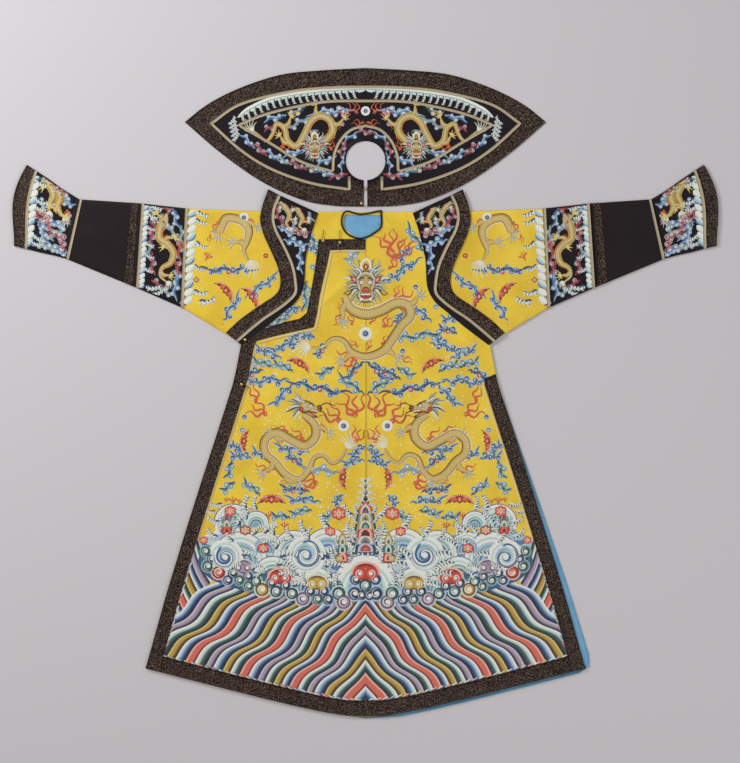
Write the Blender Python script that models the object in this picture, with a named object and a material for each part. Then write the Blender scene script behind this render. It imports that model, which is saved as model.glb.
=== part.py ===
"""Court robe of lined silk with its flared collar, laid out flat, as separate cut and sewn pieces.

Metres, +Z up, +X to the right and +Y towards the collar. The back lies on the surface at Z = 0, and each
further layer of cloth lies just above the one below it. Tables of outline points are in millimetres.
"""
import math

import bpy
import numpy as np

MM = 0.001

# Thicknesses and heights of the layers of cloth, in millimetres
CLOTH = 1.2
LINING = 1.0
BAND = 1.0
BRAID = 0.8
GAP = 0.3
LINING_Z = CLOTH + GAP
FLAP_Z = LINING_Z + LINING + GAP
FRONT_Z = FLAP_Z + CLOTH + GAP
SLEEVE_FRONT_Z = FRONT_Z
EDGE_DROP = 9.0
ON_FRONT = FRONT_Z + CLOTH + 0.4
ON_WING = ON_FRONT + CLOTH + 0.4

# Main sizes of the robe, in millimetres
SHOULDER_Y = 487.0
UNDERARM_Y = 127.0
HEM_MIDDLE_Y = -875.0
HEM_CORNER_Y = -744.0
HEM_HALF = 593.0
HEM_ROUND = 100.0
SIDE_BAND = 36.0
HEM_BAND = 42.0
BACK_SIDE_SHOWS = 20.0
BACK_HEM_SHOWS = 9.0
FLAP_END_Y = -470.0
SEAM = 0.17
CORNER_ROUND = 9.0
SLIT = 5.2
BUTTON = 9.0
LOOP = 2.4

# Half width of the front at each height, from the underarm to the corner of the hem
SIDE = np.array([
    # y, half width
    (127.0, 336.0),
    (34.0, 354.0),
    (-88.0, 393.0),
    (-223.0, 437.0),
    (-371.0, 484.0),
    (-533.0, 534.0),
    (-744.0, 593.0),
])

# Seam between the body and the sleeve at each height, from the shoulder to the underarm
ARMHOLE = np.array([
    # y, distance from the middle
    (487.0, 250.0),
    (455.0, 247.0),
    (420.0, 235.0),
    (385.0, 218.0),
    (331.0, 195.0),
    (296.0, 190.0),
    (270.0, 192.0),
    (236.0, 218.0),
    (206.0, 254.0),
    (172.0, 305.0),
    (142.0, 351.0),
    (127.0, 336.0),
])

# Half of the front's neck edge at each height
NECK_RIGHT = np.array([
    # y, x
    (487.0, 46.0),
    (450.0, 47.0),
    (433.0, 32.0),
    (420.0, 5.0),
    (412.0, 0.3),
])
NECK_LEFT = np.array([
    # y, x
    (487.0, -52.0),
    (455.0, -61.0),
    (428.0, -47.0),
    (412.0, -18.0),
    (385.0, -4.0),
    (360.0, -4.0),
])

# The overlapping front's edge band, from the middle of the neck to the underarm: outer and inner edge
OVERLAP = np.array([
    # outer x, outer y, inner x, inner y
    (-0.4, 413.0, -0.4, 385.0),
    (-60.0, 413.5, -55.0, 385.5),
    (-126.0, 413.0, -96.0, 384.0),
    (-131.0, 371.0, -104.0, 344.0),
    (-139.0, 317.0, -114.0, 304.0),
    (-150.0, 256.0, -124.0, 258.0),
    (-158.0, 215.0, -131.0, 212.0),
    (-177.0, 199.0, -140.0, 176.0),
    (-217.0, 190.0, -212.0, 160.0),
    (-258.0, 177.0, -254.0, 150.0),
    (-325.0, 153.0, -294.0, 139.0),
])

# Wing over the shoulder, from its upper end to the underarm, one row for each station across it
WING = np.array([
    # edge x, edge y, braid x, braid y, inner x, inner y
    (262.0, 548.0, 232.0, 532.0, 128.0, 484.0),
    (274.0, 516.0, 245.0, 503.0, 139.0, 452.0),
    (281.0, 490.0, 249.5, 480.0, 147.0, 425.0),
    (284.0, 466.0, 249.0, 460.0, 153.0, 400.0),
    (278.0, 437.0, 241.0, 434.0, 160.0, 372.0),
    (268.0, 411.0, 229.0, 411.0, 163.0, 345.0),
    (252.0, 376.0, 212.0, 377.0, 164.0, 318.0),
    (237.0, 340.0, 197.0, 340.0, 165.0, 300.0),
    (229.0, 306.0, 189.5, 300.0, 168.0, 282.0),
    (233.0, 277.0, 190.0, 268.0, 176.0, 262.0),
    (248.0, 259.0, 213.0, 243.0, 192.0, 240.0),
    (272.0, 243.0, 241.0, 222.0, 214.0, 222.0),
    (309.0, 218.0, 274.0, 200.0, 240.0, 200.0),
    (342.0, 193.0, 309.0, 172.0, 270.0, 175.0),
    (376.0, 161.0, 347.0, 139.0, 332.0, 128.0),
])

# Ends of the pieces of a sleeve, from the armhole outwards: the top fold and the seam below
SLEEVE_JOINTS = {
    "armhole": ((250.0, 487.0), (351.0, 142.0)),
    "upper": ((478.0, 496.0), (490.0, 227.0)),
    "dragon": ((605.0, 510.0), (620.0, 284.0)),
    "plain": ((772.0, 521.0), (809.0, 362.0)),
}
CUFF = np.array([
    # distance along, top x, top y, bottom x, bottom y
    (0.00, 772.0, 521.0, 809.0, 362.0),
    (0.25, 816.0, 548.0, 843.0, 371.0),
    (0.50, 852.0, 574.0, 877.0, 378.0),
    (0.78, 888.0, 598.0, 915.0, 388.0),
    (1.00, 913.0, 614.0, 948.0, 396.0),
])
CUFF_BORDER = 25.0
CUFF_BULGE = 22.0

# Collar: half of its outer edge from the slit to the tip and from the tip to the top
COLLAR_HOLE = (0.0, 626.0)
COLLAR_HOLE_RADIUS = (54.0, 53.0)
COLLAR_LOWER = np.array([
    # x, y
    (SLIT, 502.0),
    (90.0, 505.0),
    (176.0, 522.0),
    (284.0, 572.0),
    (392.0, 648.0),
    (487.0, 730.0),
])
COLLAR_UPPER = np.array([
    # x, y
    (487.0, 730.0),
    (425.0, 778.0),
    (338.0, 822.0),
    (230.0, 857.0),
    (120.0, 869.0),
    (0.0, 875.5),
])
COLLAR_BRAID_LOWER = np.array([
    # x, y
    (44.0, 548.0),
    (150.0, 566.0),
    (256.0, 604.0),
    (338.0, 655.0),
    (417.0, 726.0),
])
COLLAR_BRAID_UPPER = np.array([
    # x, y
    (417.0, 726.0),
    (338.0, 778.0),
    (204.0, 812.0),
    (95.0, 823.0),
    (0.0, 825.0),
])
COLLAR_INNER_LOWER = np.array([
    # x, y
    (88.0, 596.0),
    (176.0, 624.0),
    (256.0, 672.0),
    (343.0, 722.0),
])
COLLAR_INNER_UPPER = np.array([
    # x, y
    (343.0, 722.0),
    (270.0, 751.0),
    (165.0, 776.0),
    (90.0, 786.0),
    (0.0, 787.0),
])

# Largest soft folds in the upper layer: a ridge from one point to another
FOLDS = np.array([
    # x, y, to x, to y, half width, height
    (-118.0, 236.0, -50.0, 296.0, 16.0, 2.2),
    (-8.0, 60.0, -6.0, -290.0, 18.0, 1.6),
    (14.0, 20.0, 12.0, -220.0, 15.0, 1.2),
    (262.0, 140.0, 205.0, -40.0, 30.0, 2.4),
    (-215.0, 90.0, -190.0, -120.0, 32.0, 2.2),
    (160.0, -330.0, 215.0, -560.0, 40.0, 2.4),
    (-180.0, -300.0, -255.0, -560.0, 42.0, 2.4),
    (330.0, -260.0, 400.0, -520.0, 34.0, 2.0),
    (-330.0, -230.0, -395.0, -480.0, 34.0, 2.0),
    (70.0, 440.0, 95.0, 392.0, 13.0, 1.6),
    (60.0, 408.0, 120.0, 372.0, 12.0, 1.3),
    (395.0, 205.0, 420.0, 290.0, 22.0, 2.4),
    (-400.0, 205.0, -425.0, 300.0, 22.0, 2.6),
    (705.0, 430.0, 772.0, 372.0, 20.0, 2.0),
    (-700.0, 400.0, -760.0, 440.0, 20.0, 1.8),
])

# Colour, roughness and metallic value of each material
FINISHES = {
    "yellow_silk": ((0.72, 0.50, 0.07), 0.42, 0.0),
    "dark_satin": ((0.015, 0.011, 0.014), 0.45, 0.0),
    "plain_sleeve_silk": ((0.018, 0.012, 0.014), 0.55, 0.0),
    "gold_brocade": ((0.045, 0.026, 0.02), 0.5, 0.2),
    "blue_lining": ((0.09, 0.29, 0.48), 0.5, 0.0),
    "gold_braid": ((0.48, 0.38, 0.22), 0.45, 0.3),
    "black_cord": ((0.01, 0.009, 0.01), 0.6, 0.0),
    "gilt_brass": ((0.75, 0.55, 0.25), 0.3, 1.0),
}


def clear_scene():
    """Remove what the new file holds."""
    for old in list(bpy.data.objects):
        bpy.data.objects.remove(old, do_unlink=True)


def material(finish):
    """One Principled material for each piece's finish."""
    found = bpy.data.materials.get(finish)
    if found:
        return found
    colour, roughness, metallic = FINISHES[finish]
    made = bpy.data.materials.new(finish)
    made.use_nodes = True
    shader = made.node_tree.nodes["Principled BSDF"]
    shader.inputs["Base Color"].default_value = (*colour, 1.0)
    shader.inputs["Roughness"].default_value = roughness
    shader.inputs["Metallic"].default_value = metallic
    made.diffuse_color = (*colour, 1.0)
    return made


def add_piece(name, points, faces, finish):
    """Make one named object from points in millimetres and faces."""
    mesh = bpy.data.meshes.new(name)
    mesh.from_pydata((np.asarray(points) * MM).tolist(), [], faces)
    mesh.update()
    mesh.materials.append(material(finish))
    mesh.shade_smooth()
    mesh.set_sharp_from_angle(angle=math.radians(40.0))
    piece = bpy.data.objects.new(name, mesh)
    bpy.context.scene.collection.objects.link(piece)
    return piece


def fold_height(x, y):
    """Height that the soft folds add at each point: a rounded ridge along each line that dies out at its ends."""
    height = np.zeros(np.broadcast(x, y).shape)
    for x0, y0, x1, y1, half_width, top in FOLDS:
        along = np.array((x1 - x0, y1 - y0))
        length = math.hypot(*along)
        ux, uy = along / length
        s = (x - x0) * ux + (y - y0) * uy
        across = -(x - x0) * uy + (y - y0) * ux
        beyond = np.maximum(0.0, np.abs(s - length / 2.0) - length / 4.0) / (length / 4.0)
        height += top * np.exp(-((across / half_width) ** 2)) * np.exp(-(beyond**2))
    return height


def wall(name, xy, bottom, thickness, finish, ring=False):
    """Close a sheet of cloth over a grid of rows and columns.

    xy is a grid of points, bottom the height of its underside at each of them. With ring the last row joins
    the first one.
    """
    rows, columns = xy.shape[:2]
    low = np.dstack((xy, bottom))
    high = np.dstack((xy, bottom + thickness))
    points = np.vstack((low.reshape(-1, 3), high.reshape(-1, 3)))
    index = np.arange(rows * columns).reshape(rows, columns)
    if ring:
        index = np.vstack((index, index[:1]))
    a, b = index[:-1, :-1].ravel(), index[:-1, 1:].ravel()
    c, d = index[1:, 1:].ravel(), index[1:, :-1].ravel()
    up = rows * columns
    first = xy[1, 0] - xy[0, 0]
    second = xy[0, 1] - xy[0, 0]
    turned = first[0] * second[1] - first[1] * second[0] > 0.0
    faces = [*zip(a, b, c, d), *zip(d + up, c + up, b + up, a + up)]
    edges = [index[:, 0][::-1], index[:, -1]]
    if not ring:
        edges += [index[0], index[-1][::-1]]
    for edge in edges:
        start, end = edge[:-1], edge[1:]
        faces += [*zip(end, start, start + up, end + up)]
    if turned:
        faces = [tuple(int(i) for i in face) for face in faces]
    else:
        faces = [tuple(int(i) for i in reversed(face)) for face in faces]
    return add_piece(name, points, faces, finish)


def smooth_line(table, count):
    """Points on a smooth curve through the rows of a table, evenly spaced along it."""
    table = np.asarray(table, float)
    ends = np.vstack((2.0 * table[0] - table[1], table, 2.0 * table[-1] - table[-2]))
    t = np.linspace(0.0, 1.0, 13)[:-1, None]
    parts = []
    for p0, p1, p2, p3 in zip(ends[:-3], ends[1:-2], ends[2:-1], ends[3:]):
        cubic = 2.0 * p1 + (p2 - p0) * t + (2.0 * p0 - 5.0 * p1 + 4.0 * p2 - p3) * t**2
        parts.append(0.5 * (cubic + (3.0 * p1 - p0 - 3.0 * p2 + p3) * t**3))
    curve = np.vstack((*parts, table[-1:]))
    steps = np.hypot(*np.diff(curve[:, :2], axis=0).T)
    run = np.concatenate(((0.0,), np.cumsum(steps)))
    wanted = np.linspace(0.0, run[-1], count)
    return np.column_stack([np.interp(wanted, run, column) for column in curve.T])


def across(first, last, fractions):
    """Grid between two lines with the same number of points, at the given fractions."""
    f = np.asarray(fractions)[None, :, None]
    return first[:, None, :] * (1.0 - f) + last[:, None, :] * f


def at_height(table, y):
    """Read the second column of a table at heights y, which fall down the first column."""
    return np.interp(-np.asarray(y), -table[:, 0], table[:, 1])


def hem_y(x, drop=0.0):
    """Height of the hem's edge at each x: straight slopes that meet in a round at the middle."""
    rise = np.hypot(x, HEM_ROUND) - HEM_ROUND
    most = math.hypot(HEM_HALF, HEM_ROUND) - HEM_ROUND
    return HEM_MIDDLE_Y + (HEM_CORNER_Y - HEM_MIDDLE_Y) * rise / most - drop


def droop(distance, height, low):
    """Height of a layer that bends down to low at a folded edge, at each distance in from that edge."""
    inside = np.clip(distance / EDGE_DROP, 0.0, 1.0)
    return low + (height - low) * np.sqrt(1.0 - (1.0 - inside) ** 2)


def body_half(sign, inner, columns, wider=0.0, longer=0.0):
    """Grid of one half of the body, from the shoulder to the hem, whose last column and row bound the bands.

    inner gives the x of the edge nearest the middle at each height, sign is +1 on the right and -1 on the left,
    wider and longer are what the back shows beyond the front at the hem's corner and along the hem.
    """
    upper = np.array((0.0, 3.0, 9.0, 20.0, 32.0, 50.0, 74.0, 102.0, 130.0, 156.0, 191.0, 217.0, 243.0, 267.0,
                      281.0, 297.0, 315.0, 333.0, 345.0))
    upper_y = SHOULDER_Y - upper
    share = np.linspace(0.0, 1.0, columns - 1)
    rows = []
    for y in upper_y:
        x_in, x_out = inner(y), sign * (at_height(ARMHOLE, y) - 1.2)
        x = np.append(x_in + share * 0.93 * (x_out - x_in), x_out)
        rows.append(np.column_stack((x, np.full(columns, y))))
    hem_x = np.append(share * (HEM_HALF + wider - SIDE_BAND), HEM_HALF + wider)
    hem_x[0] = abs(inner(HEM_CORNER_Y))
    hem = hem_y(hem_x, longer * np.clip((sign * hem_x + 40.0) / 80.0, 0.0, 1.0))
    for t in (*np.linspace(0.0, 1.0, 24), None):
        y = hem if t is None else UNDERARM_Y + t * (hem + HEM_BAND - UNDERARM_Y)
        half = at_height(SIDE, y[-1]) + wider * np.clip((15.0 - y[-1]) / 715.0, 0.0, 1.0)
        first = abs(inner(y[0]))
        x = sign * np.append(first + share * (half - SIDE_BAND - first), half)
        rows.append(np.column_stack((x, y)))
    if wider:
        rows[-1][-1] += (-sign * CORNER_ROUND, CORNER_ROUND)
    return np.array(rows), len(upper)


def make_back():
    """Back of the body in one piece, flat on the surface, and the lining that lies on it."""
    right = body_half(1.0, lambda y: 0.0, 8, BACK_SIDE_SHOWS, BACK_HEM_SHOWS)[0]
    left = body_half(-1.0, lambda y: 0.0, 8, 0.0, BACK_HEM_SHOWS)[0]
    back = np.concatenate((left[:, :0:-1], right), axis=1)
    wall("back_body", back, np.zeros(back.shape[:2]), CLOTH, "yellow_silk")
    lining = back[2:]
    wall("back_lining", lining, np.full(lining.shape[:2], LINING_Z), LINING, "blue_lining")


def make_fronts():
    """Right half of the front, the left half that laps over, and the flap under it."""
    right, split = body_half(1.0, lambda y: float(at_height(NECK_RIGHT, y)), 14)
    height = FRONT_Z + fold_height(right[..., 0], right[..., 1])
    height = np.minimum(height, droop(SHOULDER_Y - right[..., 1], height, LINING_Z))
    wall("front_right", right, height, CLOTH, "yellow_silk")

    flap = body_half(-1.0, lambda y: float(at_height(NECK_LEFT, y)), 8)[0]
    flap = flap[flap[:, 0, 1] > FLAP_END_Y]
    height = droop(SHOULDER_Y - flap[..., 1], FLAP_Z, LINING_Z)
    wall("inner_flap", flap, height, CLOTH, "yellow_silk")

    left, split = body_half(-1.0, lambda y: -SEAM * 2.0, 14)
    lap = lap_rows(14)
    left = np.concatenate((lap, left[split:]))
    wall("front_overlap", left, FRONT_Z + fold_height(left[..., 0], left[..., 1]), CLOTH, "yellow_silk")
    return left, right, len(lap), split


def lap_edge(y):
    """Left edge of the overlapping front at height y, above the underarm."""
    return float(at_height(OVERLAP[2:, (1, 0)], y))


def lap_rows(columns):
    """Rows of the overlapping front above the underarm, from the neck to just above the side."""
    share = np.linspace(0.0, 1.0, columns - 1)
    rows = []
    for y in (413.0, 392.0, 371.0, 344.0, 317.0, 286.0, 256.0, 235.0, 215.0, 199.0, 190.0, 177.0, 165.0, 153.0):
        x_out = lap_edge(y)
        x = np.append(-0.3 + share * 0.93 * (x_out + 0.3), x_out)
        rows.append(np.column_stack((x, np.full(columns, y))))
    return np.array(rows)


def make_edge_bands(left, right, left_top, right_top):
    """Brocade bands on the front: the curved one of the overlap, both sides and the hem."""
    lay = lambda grid: ON_FRONT + fold_height(grid[..., 0], grid[..., 1])
    outer, inner = dense(OVERLAP[:, :2]), dense(OVERLAP[:, 2:])
    overlap = across(outer, inner, (0.0, 0.5, 1.0))
    wall("edge_band_overlap", overlap, lay(overlap), BAND, "gold_brocade")

    top = np.array([[(-294.4, 138.2), (-325.4, 152.2)]])
    side = np.concatenate((top, left[left_top:, -2:]))
    wall("edge_band_left", side, lay(side), BAND, "gold_brocade")

    vent = right[right_top:, -2:]
    begin = int(np.argmax(vent[:, 0, 1] < 36.0))
    top = np.array([[(320.0, 36.0), (351.0, 50.0)]])
    side = np.concatenate((top, vent[begin:]))
    wall("edge_band_right", side, lay(side), BAND, "gold_brocade")

    hem = np.concatenate((left[-2:, -2:0:-1], right[-2:, 1:-1]), axis=1)
    hem[:, 0, 0] += 0.4
    hem[:, -1, 0] -= 0.4
    wall("edge_band_hem", hem, lay(hem), BAND, "gold_brocade")


def dense(line, pieces=3):
    """Add evenly spaced points between the points of a line."""
    t = np.arange(len(line))
    wanted = np.linspace(0.0, len(line) - 1.0, pieces * (len(line) - 1) + 1)
    return np.column_stack([np.interp(wanted, t, column) for column in line.T])


def make_neck_binding():
    """Narrow binding round the neck, from the fronts down to the back's lining behind the neck."""
    front = np.vstack((NECK_RIGHT[:-1, ::-1], ((-18.0, 415.5), (-49.0, 428.0), (-64.0, 455.0))))
    back = np.array(((-54.0, 488.0), (-12.0, 481.0), (44.0, 490.0)))
    line = smooth_line(np.vstack((front, back, front[:1])), 41)[:-1]
    sides = strip(line + (-4.0, 0.0) * (line[:, :1] > 20.0), 4.0, closed=True)
    behind = np.clip((48.0 - np.abs(sides[..., 0])) / 16.0, 0.0, 1.0) * (sides[..., 1] > 460.0)
    high, low = ON_FRONT + BAND + 0.4, LINING_Z + LINING + 0.4
    height = high + (low - high) * behind
    wall("neck_binding", sides, height, BAND, "dark_satin", ring=True)


def strip(line, width, closed=False):
    """Two edges of a strip of constant width along a line, as a grid of two columns."""
    if closed:
        step = np.roll(line, -1, axis=0) - np.roll(line, 1, axis=0)
    else:
        step = np.gradient(line, axis=0)
    normal = np.column_stack((-step[:, 1], step[:, 0])) / np.hypot(*step.T)[:, None]
    return np.stack((line + normal * width / 2.0, line - normal * width / 2.0), axis=1)


def sleeve_end(name, fractions):
    """Points across a sleeve at one of its joints, from the seam below to the top fold."""
    top, bottom = (np.array(point) for point in SLEEVE_JOINTS[name])
    if name != "armhole":
        return bottom + fractions[:, None] * (top - bottom)
    seam = ARMHOLE[-2::-1, ::-1]
    run = np.concatenate(((0.0,), np.cumsum(np.hypot(*np.diff(seam, axis=0).T))))
    return np.column_stack([np.interp(fractions * run[-1], run, column) for column in seam.T])


def edge_fractions(width, count):
    """Fractions across a sleeve of the given width, closer together by both edges, where the cloth bends."""
    near = np.array((0.0, 1.5, 4.5, EDGE_DROP)) / width
    return np.concatenate((near, np.linspace(near[-1], 1.0 - near[-1], count)[1:-1], 1.0 - near[::-1]))


def sleeve_piece(start, end, along, fractions):
    """Grid of a sleeve piece between two joints, a row for each fraction along it."""
    first, last = sleeve_end(start, fractions), sleeve_end(end, fractions)
    t = np.asarray(along)[:, None, None]
    return first[None] * (1.0 - t) + last[None] * t


def cuff_piece(along, fractions):
    """Grid of the flared cuff, whose outer edge swells towards the top."""
    at = np.asarray(along)
    ends = [np.interp(at, CUFF[:, 0], CUFF[:, column]) for column in range(1, 5)]
    top, bottom = np.column_stack(ends[:2]), np.column_stack(ends[2:])
    f = fractions[None, :, None]
    grid = bottom[:, None] * (1.0 - f) + top[:, None] * f
    grid[..., 0] += CUFF_BULGE * at[:, None] ** 3 * np.sin(math.pi * fractions**1.3)[None, :]
    return grid


def front_layer(grid, fractions, sign):
    """Height of a sleeve's upper layer, which bends down to the back at both edges."""
    width = np.hypot(*(grid[:, -1] - grid[:, 0]).T)[:, None]
    distance = np.minimum(fractions, 1.0 - fractions)[None, :] * width
    height = SLEEVE_FRONT_Z + fold_height(sign * grid[..., 0], grid[..., 1])
    return droop(distance, height, CLOTH + GAP)


def sleeve_pair(name, grid, fractions, side, finish):
    """Front and back layer of one piece of a sleeve."""
    sign = 1.0 if side == "right" else -1.0
    placed = grid * (sign, 1.0)
    wall(f"{name}_front_{side}", placed, front_layer(grid, fractions, sign), CLOTH, finish)
    wall(f"{name}_back_{side}", placed, np.zeros(placed.shape[:2]), CLOTH, finish)


def laid_strip(name, grid, fractions, side, thickness, finish):
    """Strip on a sleeve's upper layer, from the same points moved out."""
    sign = 1.0 if side == "right" else -1.0
    height = front_layer(grid, fractions, sign) + CLOTH + GAP
    wall(f"{name}_{side}", grid * (sign, 1.0), height, thickness, finish)


def make_sleeve(side):
    """Sleeve in its four lengths, with the brocade and the gold braid laid on it."""
    v = edge_fractions(300.0, 8)
    upper = sleeve_piece("armhole", "upper", np.linspace(0.012, 1.0 - SEAM / 163.0, 8), v)
    sleeve_pair("upper_sleeve", upper, v, side, "yellow_silk")
    dragon = sleeve_piece("upper", "dragon", np.linspace(SEAM / 124.0, 1.0 - SEAM / 124.0, 5), v)
    sleeve_pair("dragon_band", dragon, v, side, "dark_satin")
    plain = sleeve_piece("dragon", "plain", np.linspace(SEAM / 170.0, 1.0 - SEAM / 170.0, 7), v)
    sleeve_pair("plain_sleeve", plain, v, side, "plain_sleeve_silk")
    border = 1.0 - CUFF_BORDER / 140.0
    cuff = cuff_piece((SEAM / 139.0, 0.25, 0.5, border - 0.07, border, 0.92, 1.0), v)
    sleeve_pair("hoof_cuff", cuff, v, side, "dark_satin")
    edge = cuff_piece((border, 0.92, 1.0), v)
    laid_strip("cuff_border", edge, v, side, BAND, "gold_brocade")
    strips = {
        "braid_cuff_edge": cuff_piece((border - 0.06, border - 0.01), v),
        "braid_cuff_seam": sleeve_piece("dragon", "plain", (0.955, 0.992), v),
        "braid_band_outer": sleeve_piece("upper", "dragon", (0.935, 0.992), v),
        "braid_band_inner": sleeve_piece("upper", "dragon", (0.008, 0.065), v),
    }
    for name, grid in strips.items():
        laid_strip(name, grid, v, side, BRAID, "gold_braid")
    brocade = sleeve_piece("dragon", "plain", (0.048, 0.172), v)
    laid_strip("sleeve_brocade", brocade, v, side, BAND, "gold_brocade")


def make_wing(side):
    """Wing over the shoulder seam: satin base, brocade border outside the braid, and the braid itself."""
    sign = 1.0 if side == "right" else -1.0
    rows = smooth_line(WING, 31)
    edge, braid, inner = rows[:, :2], rows[:, 2:4], rows[:, 4:].copy()
    if side == "left":
        order = OVERLAP[6:][::-1]
        inner[:, 1] = np.where(-inner[:, 0] < -176.0,
                               np.maximum(inner[:, 1], np.interp(-inner[:, 0], order[:, 0], order[:, 1]) + 2.0),
                               inner[:, 1])
    base = np.concatenate((across(edge, braid, (0.0, 0.45, 0.85)), across(braid, inner, (0.2, 0.6, 1.0))), axis=1)
    lay = lambda grid, z: z + fold_height(sign * grid[..., 0], grid[..., 1])
    wall(f"wing_{side}", base * (sign, 1.0), lay(base, ON_FRONT), CLOTH, "dark_satin")
    border = across(edge, braid, (0.0, 0.45, 0.85))
    wall(f"wing_border_{side}", border * (sign, 1.0), lay(border, ON_WING), BAND, "gold_brocade")
    line = strip(braid, 7.5)
    wall(f"wing_braid_{side}", line * (sign, 1.0), lay(line, ON_WING), BRAID, "gold_braid")


def hole_arc(start, end, count, grow=0.0):
    """Points round the collar's neck hole between two angles in degrees."""
    angle = np.radians(np.linspace(start, end, count))
    across_x, across_y = (radius + grow for radius in COLLAR_HOLE_RADIUS)
    return np.column_stack((COLLAR_HOLE[0] + across_x * np.cos(angle), COLLAR_HOLE[1] + across_y * np.sin(angle)))


def mirrored(half, ring=False):
    """Whole line from its right half, which ends at the middle of the top."""
    left = half[-2::-1] * (-1.0, 1.0)
    return np.vstack((half, left[:-1] if ring else left))


def make_collar():
    """Flared collar: satin base with its hole and slit, brocade border, two lines of braid and the hole's binding."""
    slit_angle = -math.degrees(math.acos(SLIT / COLLAR_HOLE_RADIUS[0]))
    outline = mirrored(np.vstack((smooth_line(COLLAR_LOWER, 15), smooth_line(COLLAR_UPPER, 14)[1:])))
    hole = mirrored(np.vstack((hole_arc(slit_angle, 8.0, 15), hole_arc(8.0, 90.0, 14)[1:])))
    base = across(hole, outline, (0.0, 0.12, 0.3, 0.6, 0.85, 1.0))
    wall("collar_base", base, np.zeros(base.shape[:2]), CLOTH, "dark_satin")

    on_base = CLOTH + GAP
    half_braid = 3.6
    leg = np.array(((44.0, 583.0), (44.0, 566.0), (44.0, 548.0)))
    braid_line = np.vstack((leg[:-1], smooth_line(COLLAR_BRAID_LOWER, 15), smooth_line(COLLAR_BRAID_UPPER, 14)[1:]))
    braid_line = mirrored(braid_line)
    slit_side = np.array(((SLIT, 560.0), (SLIT, 533.0)))
    border_edge = mirrored(np.vstack((slit_side, smooth_line(COLLAR_LOWER, 15), smooth_line(COLLAR_UPPER, 14)[1:])))
    braid = strip(braid_line, 2.0 * half_braid)
    border = across(border_edge, strip(braid_line, 2.0 * half_braid + 1.0)[:, 1], (0.0, 0.5, 1.0))
    wall("collar_border", border, np.full(border.shape[:2], on_base), BAND, "gold_brocade")
    wall("collar_braid_outer", braid, np.full(braid.shape[:2], on_base), BRAID, "gold_braid")

    arch = np.array(((0.3, 720.0), (39.0, 709.0), (69.0, 679.0), (85.0, 641.0), (88.0, 600.0)))
    ring = np.vstack((smooth_line(arch, 9), smooth_line(COLLAR_INNER_LOWER, 11)[1:],
                      smooth_line(COLLAR_INNER_UPPER, 13)[1:]))
    inner = strip(np.vstack((ring, ring[-2::-1] * (-1.0, 1.0))), 7.0, closed=True)
    wall("collar_braid_inner", inner, np.full(inner.shape[:2], on_base), BRAID, "gold_braid", ring=True)
    edge = strip(hole_arc(slit_angle, 180.0 - slit_angle, 36, grow=2.0), 3.4)
    wall("collar_neck_binding", edge, np.full(edge.shape[:2], on_base), BRAID, "dark_satin")


def make_button(name, x, y, z):
    """Ball button on its short shank, as a turned solid."""
    radius = BUTTON / 2.0
    angle = np.radians(np.linspace(-72.0, 78.0, 8))
    profile = np.column_stack((radius * np.cos(angle), radius + 0.6 + radius * np.sin(angle)))
    profile = np.vstack(((radius * 0.31, 0.0), profile))
    turn = np.linspace(0.0, 2.0 * math.pi, 14, endpoint=False)
    rings = np.stack((profile[:, :1] * np.cos(turn), profile[:, :1] * np.sin(turn),
                      np.repeat(profile[:, 1:], len(turn), axis=1)), axis=-1) + (x, y, z)
    count, round_count = rings.shape[:2]
    index = np.arange(count * round_count).reshape(count, round_count)
    after = np.roll(index, -1, axis=1)
    faces = list(zip(index[:-1].ravel(), after[:-1].ravel(), after[1:].ravel(), index[1:].ravel()))
    faces += [tuple(index[0][::-1]), tuple(index[-1])]
    add_piece(name, rings.reshape(-1, 3), [tuple(int(i) for i in face) for face in faces], "gilt_brass")


def make_fastenings():
    """Cord loops and ball buttons of the neck, the overlap, the side and the collar's slit."""
    on_band = ON_FRONT + BAND + 0.4
    on_border = CLOTH + GAP + BAND + GAP
    rows = (
        # loop from x, y, to x, y, button x, y, height
        ("neck", -69.0, 440.0, -69.0, 382.0, -69.0, 404.0, on_band),
        ("lapel", -113.0, 440.0, -117.0, 396.0, -114.5, 409.0, on_band),
        ("side", -346.0, 27.0, -310.0, 12.0, -334.0, 22.0, on_band),
        ("collar", -10.0, 549.0, 10.0, 549.0, 0.0, 549.0, on_border),
    )
    for name, x0, y0, x1, y1, x, y, z in rows:
        line = np.linspace((x0, y0), (x1, y1), 5)
        loop = strip(line, LOOP)
        wall(f"loop_{name}", loop, np.full(loop.shape[:2], z), LOOP * 0.7, "black_cord")
        make_button(f"button_{name}", x, y, z + LOOP * 0.7 + GAP)
    make_button("button_underarm", -324.0, 142.0, on_band)
    make_button("button_collar_end", -11.0, 510.0, on_border)


def main():
    """Make every piece of the robe and its collar."""
    clear_scene()
    make_back()
    left, right, left_top, right_top = make_fronts()
    make_edge_bands(left, right, left_top, right_top)
    make_neck_binding()
    for side in ("left", "right"):
        make_sleeve(side)
        make_wing(side)
    make_collar()
    make_fastenings()


if __name__ == "__main__":
    main()
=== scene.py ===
"""Court robe of embroidered silk and its flared collar, laid out flat on a pale floor, seen from above.

Sizes are millimetres, in the robe's own frame: x to the right along the sleeves, y from the hem towards the
collar. Places of the embroidery were read in the photograph, and the class Readings turns them into
millimetres. Every mesh is made in metres. Each sub-assembly is a class whose fields are its sizes, each
finish is a frozen dataclass, and embroidery is raised ribbons and discs of thread that lie on the cloth.
"""
import logging
import math
from collections.abc import Callable
from dataclasses import dataclass, field
from enum import Enum

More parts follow.
